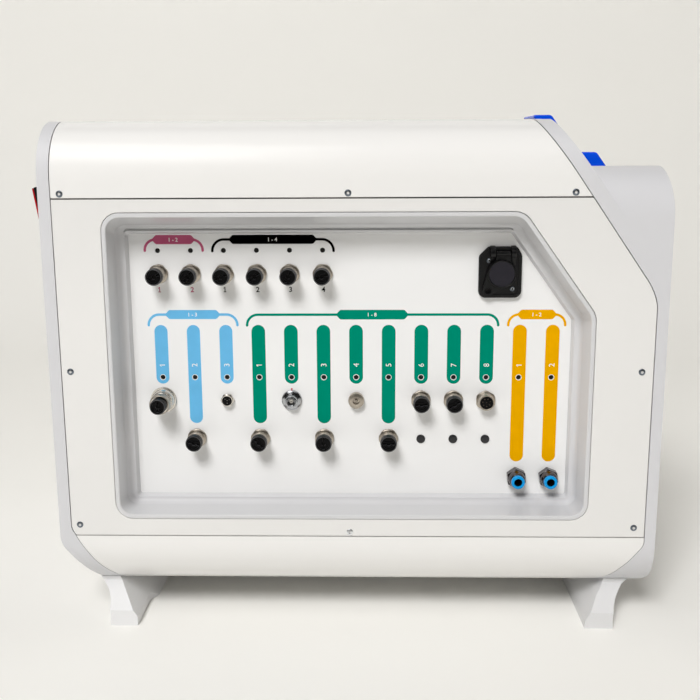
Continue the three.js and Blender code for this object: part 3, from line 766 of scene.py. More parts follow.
def cover(z0, z1, y0=-160, y1=160):
    a = raw("cov", prism_yz(end_profile(0.0, Z_TOP, R_EDGE), X_LEFT, X_RIGHT))
    boole(a, prism_xz(plan, YN - 2, -YN + 2), "INTERSECT")
    boole(a, prism_yz(end_profile(2.8, Z_TOP, R_EDGE), X_LEFT - 5, X_RIGHT + 5))
    boole(a, brick(-260, 260, y0, y1, z0, z1), "INTERSECT")
    return clean(a)


Z_ST, Z_SB = 332.5, 75.2
top = cover(Z_ST + SEAM_GAP, Z_TOP + 20)
soften(top, 0.7, 3)
piece("cover_top", top, M_WHITE, stands="top_cover")
bottom = cover(-20, Z_SB - 0.3)
soften(bottom, 0.7, 3)
piece("cover_bottom", bottom, M_WHITE, stands="bottom_cover")
near = cover(Z_SB + 0.3, Z_ST - SEAM_GAP, -160, 0)
boole(near, prism_xz(rounded(inset(lip, -0.35), [r + 0.35 for r in LIP_R], 14), YN - 5, YN + 8))
clean(near)
soften(near, 0.7, 3)
piece("panel_near", near, M_PANEL_SHADED, stands="side_panel_near")
far = cover(Z_SB + 0.3, Z_ST - SEAM_GAP, 0, 160)
for i in range(9):
    boole(far, prism_xz(stadium(-147 + i * 14, 120, 168, 6, 8), -YN - 8, -YN + 5))
clean(far)
soften(far, 0.7, 3)
piece("panel_far", far, M_PANEL_SHADED, stands="side_panel_far")


# dark sealing strip in the seams
gasket = raw("gasket", prism_yz(end_profile(2.95, Z_TOP, R_EDGE), X_LEFT - 5, X_RIGHT + 5, [end_profile(3.5, Z_TOP, R_EDGE)]))
boole(gasket, prism_xz(inset(cover_outline, 0.02), YN - 2, -YN + 2), "INTERSECT")
inner = raw("inner", prism_xz(inset(cover_outline, 3.2), YN - 4, -YN + 4))
for z in (Z_SB, Z_ST):
    boole(inner, brick(-260, 260, -160, 160, z - 3, z + 3))
boole(gasket, inner)
piece("seam_strip", gasket, M_GAP)


# ---------------------------------------------------------------- cover screws
def screw_mesh(r=2.5, h=0.75, socket=1.15):
    head = raw(
        "screw",
        lathe(
            [(0, -1.6), (r * 0.62, -1.6), (r * 0.62, -0.2), (r, -0.1), (r, 0.18), (r * 0.93, 0.42), (r * 0.74, 0.62), (r * 0.55, h), (0, h)],
            36,
        ),
    )
    boole(head, prism_xz(disc(0, 0, socket, 6), -2, 0.35))
    return head


def add_screw(name, x, y, z, turn, r=2.5, axis="y-", body="base", pale=False):
    o = screw_mesh(r, 0.3 * r, 0.46 * r)
    me = o.data
    inner = 0.5 * r * 0.001
    finish_mesh(o, [M_SCREW_GLINT, M_SCREW] if pale else [M_SCREW, M_SCREW_GLINT])
    # painted highlight: top faces inside half the head radius take the bright steel; with pale the head takes it and
    # the middle the dark steel
    for p in me.polygons:
        c = p.center
        if math.hypot(c.x, c.z) < inner and c.y > -0.00075 * 0.3 * r / 0.75 + 0.0:
            p.material_index = 1
    rot = {
        "y-": Matrix.Rotation(turn, 4, "Y"),
        "y+": Matrix.Rotation(math.pi, 4, "Z") @ Matrix.Rotation(turn, 4, "Y"),
        "x-": Matrix.Rotation(-math.pi / 2, 4, "Z") @ Matrix.Rotation(turn, 4, "Y"),
        "x+": Matrix.Rotation(math.pi / 2, 4, "Z") @ Matrix.Rotation(turn, 4, "Y"),
        "z+": Matrix.Rotation(-math.pi / 2, 4, "X") @ Matrix.Rotation(turn, 4, "Y"),
        "z-": Matrix.Rotation(math.pi / 2, 4, "X") @ Matrix.Rotation(turn, 4, "Y"),
    }[axis]
    o.name = name
    o.matrix_world = Matrix.Translation(((x + OX) * 0.001, y * 0.001, z * 0.001)) @ rot
    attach(o, body)
    return o


COVER_SCREWS = [
    (-212.4, 336.1),
    (-4.5, 336.1),
    (157.7, 336.0),
    (-212.4, 204.9),
    (211.4, 204.8),
    (-212.5, 84.1),
    (-4.4, 78.9),
    (211.6, 83.2),
]
for k, (x, z) in enumerate(COVER_SCREWS):
    add_screw(f"cover_screw_near_{k}", x, YN + 0.05, z, 0.4 + k * 0.7, pale=k == 6)
    add_screw(f"cover_screw_far_{k}", x, -YN - 0.05, z, 0.9 + k * 0.5, axis="y+")


# ---------------------------------------------------------------- recess tray
def lerp(a, b, t):
    a = [a] * 5 if not isinstance(a, (list, tuple)) else a
    b = [b] * 5 if not isinstance(b, (list, tuple)) else b
    return [p + (q - p) * t for p, q in zip(a, b)]


FOOT_D = [4.1, 5.6, 7.6, 11.6, 4.6]
OPEN_D = [8.8, 10.6, 12.9, 16.0, 10.6]
STEP = 1.5
LIP_IN_R = [10, 10, 14, 12, 10]
FOOT_R = [8, 8, 11, 9, 8]
OPEN_R = [2.2, 2.2, 4, 3, 2.2]


def tray_ring(d, r, y):
    return [(u, y, v) for u, v in rounded(inset(lip, d), list(r), 14)]


tray = []
YF = YN - 0.5
tray.append(tray_ring([0.0] * 5, LIP_R, YN + 2.6))
tray.append(tray_ring([0.0] * 5, LIP_R, YF + 0.7))
for k in range(1, 5):
    t = math.pi / 2 * k / 4
    tray.append(tray_ring([0.7 * (1 - math.cos(t))] * 5, [r - 0.7 * (1 - math.cos(t)) for r in LIP_R], YF + 0.7 * (1 - math.sin(t))))
IN_E = 1.0
for k in range(0, 6):
    t = math.pi / 2 * k / 5
    d = 3.3 - IN_E + IN_E * math.sin(t)
    tray.append(tray_ring([d] * 5, [a + (b - a) * (d / 3.3) for a, b in zip(LIP_R, LIP_IN_R)], YF + IN_E * (1 - math.cos(t))))
# wall, then a wide hollow fillet that runs out at the edge of the step
FIL = 6.0
WALL_TOP, WALL_END = YF + IN_E, LEDGE_Y - FIL
share = (WALL_END - WALL_TOP) / (LEDGE_Y - WALL_TOP)
d_end = lerp(3.3, FOOT_D, share)
for k in range(1, 5):
    t = k / 4
    tray.append(tray_ring(lerp(3.3, d_end, t), lerp(LIP_IN_R, FOOT_R, share * t), WALL_TOP + t * (WALL_END - WALL_TOP)))
d_led = [d - 0.6 for d in OPEN_D]
d_fil = [d_led[0] - 0.45, d_led[1] - 0.45, d_led[2] - 0.45, 12.9, d_led[4] - 0.45]
for k in range(1, 11):
    t = math.pi / 2 * k / 10
    tray.append(tray_ring(lerp(d_end, d_fil, 1 - math.cos(t)), lerp(FOOT_R, [r + 0.8 for r in OPEN_R], 1 - math.cos(t)), WALL_END + FIL * math.sin(t)))
# narrow groove under the top wall, fading out round its two corners
def groove(d, r, y, deep):
    ring = tray_ring(d, r, y)
    out = []
    for i, (u, yy, v) in enumerate(ring):
        corner, k = divmod(i, 15)
        w = 1 - k / 14 if corner == 4 else k / 14 if corner == 3 else 0.0
        out.append((u, yy + deep * w * w * (3 - 2 * w), v))
    return out


def top_only(d_all, d_top):
    return [d_all[0], d_all[1], d_all[2], d_top, d_all[4]]


for extra, deep in ((0.5, 0.0), (0.62, 1.0), (0.9, 2.1), (1.5, 2.1), (1.78, 1.0), (1.9, 0.0)):
    base_d = [d_led[0] - 0.35 + 0.1 * extra, d_led[1] - 0.35 + 0.1 * extra, d_led[2] - 0.35 + 0.1 * extra, 0, d_led[4] - 0.35 + 0.1 * extra]
    tray.append(groove(top_only(base_d, 12.6 + extra), [r + 0.7 for r in OPEN_R], LEDGE_Y, deep))
# rounded edge and the drafted step down to the plate
for k in range(1, 6):
    t = math.radians(72) * k / 5
    tray.append(
        tray_ring([d + 0.6 * math.sin(t) for d in d_led], [r + 0.6 * (1 - math.sin(t)) for r in OPEN_R], LEDGE_Y + 0.6 * (1 - math.cos(t)))
    )
tray.append(tray_ring([d + STEP for d in OPEN_D], [r - 0.4 for r in OPEN_R], PLATE_Y - 0.1))
tray.append(tray_ring([d - 1.8 for d in OPEN_D], [r + 1 for r in OPEN_R], PLATE_Y - 0.1))
tray.append(tray_ring([d - 3.2 for d in FOOT_D], FOOT_R, PLATE_Y - 0.4))
tray.append(tray_ring([1.0] * 5, [11, 11, 15, 13, 11], YN + 2.6))
piece("recess_tray_shell", rings(tray, closed=True), M_TRAY, stands="recess_tray", smooth=40)

# ---------------------------------------------------------------- connector plate
ROW1 = range(6)
ROW2 = {0: "large", 2: "m8", 4: "coax", 6: "round", 8: "m12", 9: "m12", 10: "open"}
ROW3 = (1, 3, 5, 7)
PLUGS = (8, 9, 10)
GAS = (11, 12)
CX, CZ, CW, CH = 109.0, 275.4, 32.4, 38.6
LED_R = 1.95
holes = []
for c in ROW1:
    holes += [disc(col_x(c), Z_LED_1, LED_R, 24), disc(col_x(c), Z_ROW_1, 5.6, 24)]
for c in range(13):
    holes.append(disc(col_x(c), Z_LED_2, LED_R, 24))
back_r = {"large": 7.4, "m8": 3.8, "coax": 4.6, "round": 4.2, "m12": 5.6, "open": 5.6}
for c, kind in ROW2.items():
    holes.append(disc(col_x(c), Z_ROW_2, back_r[kind], 24))
for c in ROW3:
    holes.append(disc(col_x(c), Z_ROW_3, 5.6, 24))
for c in PLUGS:
    holes.append(disc(col_x(c), Z_ROW_3, 2.9, 24))
for c in GAS:
    holes.append(disc(col_x(c), Z_ROW_4, 5, 24))
holes.append(disc(CX, CZ - 1, 11.6, 32))
plate_outline = rounded(inset(inset(lip, OPEN_D), -1.6), [3, 3, 5, 4, 3], 4)
piece("plate_sheet", prism_xz(plate_outline, PLATE_Y, PLATE_Y + PLATE_T, holes), M_PLATE, stands="connector_plate", smooth=30)


# ---------------------------------------------------------------- print on the plate
def decal(name, loops, mat, front=0.05):
    piece(name, prism_xz(loops[0], PLATE_Y - front, PLATE_Y - 0.005, loops[1:]), mat, smooth=30)


def pill(x, z0, z1, half, tip=3.2):
    """Label shape: flat top and bottom with tapered, rounded ends."""
    r = (z1 - z0) / 2
    zc = (z0 + z1) / 2
    body = half - tip
    return rounded(
        [(x - body, z0), (x + body, z0), (x + half, zc), (x + body, z1), (x - body, z1), (x - half, zc)],
        [2.2, 2.2, 1.4, 2.2, 2.2, 1.4],
        8,
    )


def bracket(x, zc, half, radius, drop, w=1.9, side=1, inner=0.0):
    """One arm from the label's middle outwards, turning down in a quarter arc to a round end."""
    pts = []
    h = w / 2
    x_end = x + side * half
    cxr, czr = x_end - side * radius, zc - radius
    path = [(x + side * inner, zc)]
    for k in range(0, 15):
        t = math.pi / 2 * (1 - k / 14)
        path.append((cxr + side * radius * math.cos(t), czr + radius * math.sin(t)))
    if czr - (zc - drop) > 0.05:
        path.append((x_end, zc - drop))
    left, right = [], []
    for i, p in enumerate(path):
        a = path[max(0, i - 1)]
        b = path[min(len(path) - 1, i + 1)]
        dx, dz = b[0] - a[0], b[1] - a[1]
        l = math.hypot(dx, dz)
        nx, nz = -dz / l, dx / l
        left.append((p[0] + nx * h, p[1] + nz * h))
        right.append((p[0] - nx * h, p[1] - nz * h))
    a, b = path[-2], path[-1]
    d = math.atan2(b[1] - a[1], b[0] - a[0])
    end = []
    for k in range(1, 8):
        t = d + math.pi / 2 - math.pi * k / 8
        end.append((b[0] + h * math.cos(t), b[1] + h * math.sin(t)))
    loop = left + end + right[::-1]
    return loop if area(loop) > 0 else loop[::-1]


def label(tag, x, z0, z1, pill_half, arc_half, mat, radius=8.2, drop=8.6):
    zc = (z0 + z1) / 2
    decal(f"print_{tag}_label", [pill(x, z0, z1, pill_half)], mat, 0.06)
    decal(f"print_{tag}_arm_left", [bracket(x, zc, arc_half, radius, drop, side=-1, inner=pill_half - 3)], mat, 0.05)
    decal(f"print_{tag}_arm_right", [bracket(x, zc, arc_half, radius, drop, side=1, inner=pill_half - 3)], mat, 0.05)


label("level", -137.4, 297.0, 303.9, 16.6, 22.0, M_MAROON, radius=8.0, drop=8.3)
label("io", -62.2, 297.0, 303.9, 33.6, 45.9, M_BLACKINK, radius=8.8, drop=8.8)
label("drives", -124.8, 239.6, 246.6, 21.4, 34.2, M_SKY, radius=8.3, drop=8.3)
label("sensors", 12.8, 239.2, 246.6, 27.8, 96.0, M_GREEN, radius=8.3, drop=8.3)
label("gas", 138.0, 239.2, 246.6, 15.2, 21.6, M_AMBER, radius=8.0, drop=8.3)

LONG, SHORT, GASEND, STRIP_TOP, STRIP_W = 156.9, 188.7, 126.1, 235.0, 10.1
strip_end = {0: SHORT, 1: LONG, 2: SHORT, 3: LONG, 4: SHORT, 5: LONG, 6: SHORT, 7: LONG, 8: SHORT, 9: SHORT, 10: SHORT, 11: GASEND, 12: GASEND}
for c, z_end in strip_end.items():
    m = M_SKY if c < 3 else M_GREEN if c < 11 else M_AMBER
    decal(f"print_strip_{c}", [stadium(col_x(c), z_end, STRIP_TOP, STRIP_W + (0.4 if c > 2 else 0.0)), disc(col_x(c), Z_LED_2, LED_R + 0.25, 28)], m)
    decal(f"print_ring_{c}", [disc(col_x(c), Z_LED_2, LED_R + 0.42, 28), disc(col_x(c), Z_LED_2, LED_R, 28)], M_WHITEINK, 0.08)
decal("print_coax_dot", [disc(col_x(4), Z_ROW_2 + 8.5, 0.7, 16)], M_RED_DOT)


def brick_xz(x0, x1, z0, z1):
    return [(x0, z0), (x1, z0), (x1, z1), (x0, z1)]


def digits(name, text, x, z, height, mat, turn=0.0, front=0.09, bold=0.0):
    """Plain figures as thin raised ink. x, z is the middle."""
    if text == "1":
        k, c, s = height / 4, math.cos(turn), math.sin(turn)
        pts = [(-0.3, -2), (0.3, -2), (0.3, 2), (-0.12, 2), (-1.1, 1.2), (-1.1, 0.66), (-0.3, 1.26)]
        decal(name, [[(x + (u * c - w * s) * k, z + (u * s + w * c) * k) for u, w in pts]], mat, front)
        return None
    cu = bpy.data.curves.new(name, "FONT")
    cu.body = text
    cu.size = 1.0
    cu.align_x, cu.align_y = "CENTER", "CENTER"
    cu.offset = bold
    cu.resolution_u = 4
    tmp = bpy.data.objects.new(name, cu)
    bpy.context.scene.collection.objects.link(tmp)
    dg = bpy.context.evaluated_depsgraph_get()
    dg.update()
    me = bpy.data.meshes.new_from_object(tmp.evaluated_get(dg), depsgraph=dg)
    bpy.data.objects.remove(tmp)
    bpy.data.curves.remove(cu)
    co = np.array([v.co[:] for v in me.vertices])
    lo, hi = co.min(0), co.max(0)
    k = height / (hi[1] - lo[1])
    mid = (lo + hi) / 2
    bm = bmesh.new()
    bm.from_mesh(me)
    bmesh.ops.remove_doubles(bm, verts=bm.verts, dist=1e-5)
    bmesh.ops.dissolve_limit(bm, angle_limit=0.01, verts=bm.verts, edges=bm.edges)
    ext = bmesh.ops.extrude_face_region(bm, geom=bm.faces[:])
    up = [g for g in ext["geom"] if isinstance(g, bmesh.types.BMVert)]
    c, s = math.cos(turn), math.sin(turn)
    upset = set(up)
    for v in bm.verts:
        u, w = (v.co.x - mid[0]) * k, (v.co.y - mid[1]) * k
        t = front if v in upset else 0.005
        v.co = Vector(((u * c - w * s) * 0.001, -t * 0.001, (u * s + w * c) * 0.001))
    bmesh.ops.recalc_face_normals(bm, faces=bm.faces)
    bm.to_mesh(me)
    bm.free()
    o = bpy.data.objects.new(name, me)
    bpy.context.scene.collection.objects.link(o)
    return piece(name, o, mat, at=(x, PLATE_Y, z), smooth=30)


for c in ROW1:
    digits(f"print_digit_{c}", str(c + 1 if c < 2 else c - 1), col_x(c) + 0.4, 262.4, 4.0, M_MAROON if c < 2 else M_BLACKINK, front=0.05, bold=0.02)
for c in (0, 2):
    decal(f"print_digit_foot_{c}", [brick_xz(col_x(c) - 0.6, col_x(c) + 1.4, 260.4, 260.9)], M_MAROON if c < 2 else M_BLACKINK)
for tag, x, z, text in (
    ("level", -137.4, 300.4, "1 - 2"),
    ("io", -62.2, 300.4, "1 - 4"),
    ("drives", -124.8, 243.1, "1 - 3"),
    ("sensors", 12.8, 242.9, "1 - 8"),
    ("gas", 138.0, 242.9, "1 - 2"),
):
    digits(f"print_{tag}_range", text, x, z, 2.9, M_WHITEINK, bold=0.015)
for c in range(13):
    n = c + 1 if c < 3 else c - 2 if c < 11 else c - 10
    digits(f"print_strip_number_{c}", str(n), col_x(c), 203.5, 4.2, M_WHITEINK, turn=math.pi / 2)


# ---------------------------------------------------------------- lamps
def lamp_row(name, cols, z, stands):
    parts = [raw("b", brick(col_x(cols[0]) - 6, col_x(cols[-1]) + 6, PLATE_Y + 4.4, PLATE_Y + 6, z - 4.6, z + 6))]
    finish_mesh(parts[0], M_BOARD)
    for c in cols:
        v, f = lathe([(0, -4.5), (1.87, -4.5), (1.87, -1.1), (1.65, -0.7), (1.1, -0.35), (0.5, -0.2), (0, -0.15)], 20)
        v = [(x + col_x(c), y + PLATE_Y, zz + z) for x, y, zz in v]
        o = raw("l", (v, f))
        finish_mesh(o, M_LENS)
        parts.append(o)
    o = merge(*parts)
    piece(name, o, None, stands=stands)


lamp_row("lamps_upper", list(ROW1), Z_LED_1, "led_strip_upper")
lamp_row("lamps_lower", list(range(13)), Z_LED_2, "led_strip_lower")

# ---------------------------------------------------------------- sockets
def place_turned(name, profile, x, z, mat, stands=(), seg=48, body="base", smooth=32, cut=()):
    o = raw(name, lathe(profile, seg))
    for c in cut:
        boole(o, c)
    return piece(name, o, mat, body=body, stands=stands, at=(x, PLATE_Y, z), smooth=smooth)


def m12_profile(turn=0.0, more=0.0):
    return [
        (0, -11),
        (5.2, -11),
        (5.2, 0.12),
        (7.0, 0.12),
        *nut(14.5, 6.9, 0.12, 2.6, turn, 0.9, 7.6),
        (6.6, 2.75),
        (6.4, 2.75),
        (6.1, 2.85),
        (5.95, 3.3),
        (6.1, 3.7),
        (6.15, 4.0),
        (6.15, 8.9 + more),
        (5.85, 9.2 + more),
        (5.85, 9.6 + more),
        (6.1, 9.9 + more),
        (6.1, 10.6 + more),
        (5.8, 11.0 + more),
        (4.9, 11.0 + more),
        (4.6, 10.7 + more),
        (4.6, 3.4),
        (0, 3.4),
    ]


def m12(name, c, z, turn, stands, more=0.0):
    place_turned(name, m12_profile(turn, more), col_x(c), z, M_NICKEL, stands, 60)


def dogbone(l, w, mid, turn, n=10):
    """Coin slot with a round middle and slightly wider ends."""
    h, q = l / 2, w / 2
    half = [
        (mid * 0.9, q * 0.55),
        (h * 0.55, q * 0.8),
        (h * 0.96, q * 1.05),
        (h, q * 0.5),
        (h, -q * 0.5),
        (h * 0.96, -q * 1.05),
        (h * 0.55, -q * 0.8),
        (mid * 0.9, -q * 0.55),
    ]
    pts = []
    pts += half[::-1]
    pts += [(mid * math.cos(t), mid * math.sin(t)) for t in np.linspace(0.5, math.pi - 0.5, n)]
    pts += [(-x, y) for x, y in half]
    pts += [(mid * math.cos(t), mid * math.sin(t)) for t in np.linspace(math.pi + 0.5, 2 * math.pi - 0.5, n)]
    c, s = math.cos(turn), math.sin(turn)
    return [(x * c - y * s, x * s + y * c) for x, y in pts]


def cap(name, c, z, turn, tip, body, k=1.0):
    r = 6.42 * k

    def rib(r0, deep, n=30):
        def f(t):
            return r0 - deep * (0.5 + 0.5 * math.cos(n * t)) ** 3

        return f

    g = rib(r, 0.14)
    prof = [
        (0, tip - 5.4),
        (3.9, tip - 5.4),
        (4.2, tip - 5.1),
        (4.2, tip + 0.3),
        (r - 0.35, tip + 0.3),
        (r - 0.05, tip + 0.55),
        (r - 0.05, tip + 1.0),
        lambda t: (g(t), tip + 1.25),
        lambda t: (g(t), tip + 4.6),
        (r - 0.1, tip + 4.95),
        (r - 0.12, tip + 5.65),
        (r - 0.27, tip + 6.0),
        (r - 0.55, tip + 6.15),
        (r - 0.85, tip + 6.05),
        (r - 0.98, tip + 5.75),
        (r - 1.1, tip + 5.5),
        (0, tip + 5.4),
    ]
    o = raw(name, lathe(prof, 120))
    boole(o, prism_xz(dogbone(9.2 * k, 2.0, 1.7, turn), -tip - 8, -tip - 2.8))
    # shallow hollows on both sides of the slot
    for s in (1, -1):
        pts = []
        for t in np.linspace(0.32, math.pi - 0.32, 12):
            pts.append((4.5 * k * math.cos(t), s * (4.5 * k * math.sin(t))))
        pts = [(x, y) for x, y in pts]
        cc, ss = math.cos(turn), math.sin(turn)
        pts = [(x * cc - y * ss, x * ss + y * cc) for x, y in pts]
        if area(pts) < 0:
            pts = pts[::-1]
        pts = inset(pts, 0.3)
        boole(o, prism_xz(pts, -tip - 8, -tip - 4.5))
    # painted highlight: the rim edge and the slot walls take a lighter grey so they read as catching the light
    finish_mesh(o, [M_CAP, M_CAP_RIM_HIGHLIGHT])
    for p in o.data.polygons:
        q, s = math.hypot(p.center.x, p.center.z) * 1000, -p.center.y * 1000 - tip
        if (s > 5.9 and r - 1.05 < q < r - 0.2) or (s < 5.2 and abs(p.normal.y) < 0.3 and q < r - 1.2 and s > 2.9):
            p.material_index = 1
    return piece(name, o, [M_CAP, M_CAP_RIM_HIGHLIGHT], body=body, stands=body, at=(col_x(c), PLATE_Y, z), smooth=38)


cap_turn = [0.5, 0.9, 0.4, 0.7, 1.1, 0.35]
for c in ROW1:
    m12(f"socket_shell_1_{c}", c, Z_ROW_1, 0.2 + 0.37 * c, f"socket_1_{c}", 1.4)
    cap(f"cap_head_1_{c}", c, Z_ROW_1 - 0.3, cap_turn[c], 12.4, f"dust_cap_1_{c}")
for c in ROW3:
    m12(f"socket_shell_3_{c}", c, Z_ROW_3, 0.1 + 0.29 * c, f"socket_3_{c}")
    cap(f"cap_head_3_{c}", c, Z_ROW_3, {1: -0.3, 3: -0.8, 5: 1.55, 7: 0.0}[c], 11, f"dust_cap_3_{c}")
for c in (8, 9):
    m12(f"socket_shell_2_{c}", c, Z_ROW_2, 0.52 if c == 8 else 0.45, f"socket_2_{c}")
    cap(f"cap_head_2_{c}", c, Z_ROW_2, 0.05 if c == 8 else 0.55, 11, f"dust_cap_2_{c}")


# large socket, second row
def knurl(r0, deep, n, phase=0.0):
    def f(t):
        return r0 - deep * abs(((n * t / (2 * math.pi) + phase) % 1.0) * 2 - 1)

    return f


KN = [knurl(7.85, 0.28, 48, p) for p in (0, 0.25, 0.5, 0.75)]
large = [
    (0, -13),
    (7, -13),
    (7, 0.12),
    (9.9, 0.12),
    (10.1, 0.4),
    (10.1, 1.7),
    (9.8, 2.1),
    (9.0, 2.15),
    (8.75, 2.5),
    (8.75, 3.3),
    (8.3, 4.3),
    (7.75, 5.2),
    (7.55, 5.4),
    (7.55, 6.4),
    (7.3, 6.7),
    (7.3, 7.3),
    (7.55, 7.6),
    (7.55, 10.2),
    (7.7, 10.4),
    (7.9, 10.6),
    (7.9, 11.2),
    (7.6, 11.4),
]
socket_big = place_turned(
    "socket_shell_2_0",
    large + [(7.0, 11.5), (7.0, 17.9), (6.8, 18.3), (4.9, 18.3), (4.6, 18.0), (4.6, 9), (0, 9)],
    col_x(0),
    Z_ROW_2,
    M_SILVER,
    "socket_2_0",
    64,
)
collar = [(7.02, 11.6), (7.6, 11.6), (7.75, 11.8)]
collar += [(lambda t, g=KN[i % 4], s=12.0 + 0.42 * i: (g(t), s)) for i in range(13)]
collar += [(7.7, 17.3), (7.55, 17.7), (7.2, 18.1), (7.02, 18.2), (7.02, 11.6)]
place_turned("socket_collar_2_0", collar, col_x(0), Z_ROW_2, M_NICKEL, (), 192, smooth=25)
cap("cap_head_2_0", 0, Z_ROW_2, 1.45, 18.3, "dust_cap_2_0", 0.95)


def contacts(name, x, z, s0, s1, spots, r, mat):
    parts = []
    for u, w in spots:
        v, f = lathe([(0, s0), (r, s0), (r, s1 - 0.15), (r * 0.6, s1), (0, s1)], 14)
        o = raw("p", ([(a + u, b, d + w) for a, b, d in v], f))
        finish_mesh(o, mat)
        parts.append(o)
    o = merge(*parts)
    return piece(name, o, None, at=(x, PLATE_Y, z))


def ring_spots(n, r, a0=0.0):
    return [(r * math.cos(a0 + 2 * math.pi * k / n), r * math.sin(a0 + 2 * math.pi * k / n)) for k in range(n)]


def insert(name, x, z, r, s0, s1, spots, pr, seg=40):
    """Moulded contact carrier with round contact holes."""
    holes = [disc(u, w, pr, 12) for u, w in spots]
    v, f = prism_xz(disc(0, 0, r, seg), -s1, -s0, holes)
    o = raw(name, (v, f))
    soften(o, 0.18, 2, 40)
    return piece(name, o, M_INSERT, at=(x, PLATE_Y, z), smooth=38)


# small hexagon socket
x = col_x(2)
place_turned(
    "socket_shell_2_2",
    [(0, -9), (3.4, -9), (3.4, 0.12), (4.4, 0.12), *nut(9.4, 4.6, 0.12, 3.2, 0.0, 0.6, 5.2), (4.45, 3.3), (4.45, 4.7), (4.25, 4.9), (3.85, 4.9), (3.85, 2.6), (0, 2.6)],
    x,
    Z_ROW_2,
    M_SILVER,
    "socket_2_2",
    60,
)
spots = ring_spots(3, 1.9, 0.5) + [(0.0, 0.0)]
insert("socket_insert_2_2", x, Z_ROW_2, 3.82, 2.62, 4.3, spots, 0.55)
contacts("socket_contacts_2_2", x, Z_ROW_2, 2.62, 3.9, spots, 0.36, M_PIN)

# coaxial socket with a round nut and a nose
x = col_x(4)
place_turned(
    "socket_shell_2_4",
    [
        (0, -10),
        (4.2, -10),
        (4.2, 0.12),
        (7.6, 0.12),
        (7.8, 0.35),
        (lambda t: (7.8 - 0.12 * (0.5 + 0.5 * math.cos(36 * t)), 0.6)),
        (lambda t: (7.8 - 0.12 * (0.5 + 0.5 * math.cos(36 * t)), 2.0)),
        (7.7, 2.3),
        (7.3, 2.7),
        (6.2, 3.3),
        (5.3, 3.6),
        (4.75, 3.9),
        (4.6, 4.4),
        (4.6, 7.4),
        (4.4, 7.8),
        (4.05, 8.05),
        (3.7, 8.1),
        (3.35, 7.8),
        (3.15, 7.3),
        (2.85, 7.1),
        (2.7, 6.8),
        (2.6, 2.0),
        (0, 2.0),
    ],
    x,
    Z_ROW_2,
    M_CHROME,
    "socket_2_4",
    144,
    smooth=30,
)
place_turned("socket_core_2_4", [(0, 2.05), (1.9, 2.05), (1.9, 5.4), (1.5, 5.8), (0.75, 5.8), (0.75, 4.3), (0, 4.3)], x, Z_ROW_2, M_PIN, (), 6, smooth=20)

# round coaxial socket with a centre contact
x = col_x(6)
place_turned(
    "socket_shell_2_6",
    [(0, -9), (3.8, -9), (3.8, 0.12), (5.9, 0.12), (6.1, 0.3), (6.1, 4.6), (5.85, 5.0), (5.3, 5.2), (5.1, 5.1), (4.9, 5.2), (2.75, 5.3), (2.5, 5.05), (2.4, 3.2), (1.25, 3.2), (1.25, 5.6), (0.9, 6.0), (0.55, 6.1), (0.45, 5.3), (0, 5.2)],
    x,
    Z_ROW_2,
    M_NICKEL,
    "socket_2_6",
    56,
)

# open socket with its contacts
x = col_x(10)
place_turned(
    "socket_shell_2_10",
    [(0, -11), (5.2, -11), (5.2, 0.12), (7.0, 0.12), *nut(14.4, 6.95, 0.12, 2.6, 0.52, 0.8, 7.75), (6.6, 2.75), (6.45, 3.2), (6.1, 3.5), (6.1, 9.0), (5.85, 9.4), (5.3, 9.45), (5.05, 9.2), (5.05, 6.7), (0, 6.7)],
    x,
    Z_ROW_2 - 0.3,
    M_NICKEL,
    "socket_2_10",
    60,
)
spots = ring_spots(7, 2.9, 0.3) + [(0.0, 0.0)]
insert("socket_insert_2_10", x, Z_ROW_2 - 0.3, 5.0, 6.72, 8.6, spots, 0.62, 48)
contacts("socket_contacts_2_10", x, Z_ROW_2 - 0.3, 6.72, 8.2, spots, 0.42, M_CONTACT)

for c in PLUGS:
    place_turned(
        f"plug_head_{c}",
        [(0, -4.6), (2.6, -4.6), (2.6, 0.1), (3.35, 0.1), (3.45, 0.3), (3.4, 0.65), (3.1, 1.0), (2.5, 1.2), (1.6, 1.3), (1.5, 1.2), (0, 1.15)],
        col_x(c) + 0.3,
        Z_ROW_3 - 0.6,
        M_PLUG,
        f"blank_plug_{c}",
        36,
    )

# gas outlets
for c in GAS:
    turn = 0.62 if c == 11 else 0.66
    place_turned(
        f"gas_body_{c}",
        [
            (0, -10),
            (4.6, -10),
            (4.6, 0.12),
            (6.4, 0.12),
            *nut(14.0, 6.9, 0.12, 6.4, turn, 0.7, 7.9),
            (6.75, 6.5),
            (6.65, 7.4),
            (6.35, 8.6),
            (5.95, 9.7),
            (5.5, 10.6),
            (5.2, 11.0),
            (4.75, 11.2),
            (4.5, 11.0),
            (4.5, 2),
            (0, 2),
        ],
        col_x(c),
        Z_ROW_4,
        M_GUN,
        f"gas_fitting_{c}",
        72,
    )
    place_turned(
        f"collet_ring_{c}",
        [
            (2.9, 5.0),
            (4.1, 5.0),
            (4.1, 12.4),
            (4.95, 12.6),
            (5.15, 12.85),
            (5.2, 14.9),
            (5.05, 15.5),
            (4.7, 15.85),
            (4.2, 16.0),
            (3.5, 15.95),
            (3.2, 15.7),
            (3.0, 15.2),
            (2.9, 14.5),
            (2.9, 5.0),
        ],
        col_x(c),
        Z_ROW_4,
        M_COLLET,
        f"release_collet_{c}",
        48,
        body=f"release_collet_{c}",
    )
    # painted shade: a black sleeve inside the collet so its bore reads dark
    place_turned(
        f"collet_bore_shade_{c}",
        [(2.4, 5.1), (2.87, 5.1), (2.87, 14.4), (2.95, 15.05), (2.75, 15.2), (2.5, 14.7), (2.4, 14.3), (2.4, 5.1)],
        col_x(c),
        Z_ROW_4,
        M_INSERT,
        (),
        32,
        body=f"release_collet_{c}",
    )
    place_turned(f"gas_seal_{c}", [(0, 2.05), (4.3, 2.05), (4.3, 2.7), (3.9, 3.0), (2.6, 3.0), (2.4, 2.8), (2.4, 2.4), (0, 2.4)], col_x(c), Z_ROW_4, M_INSERT, (), 32)

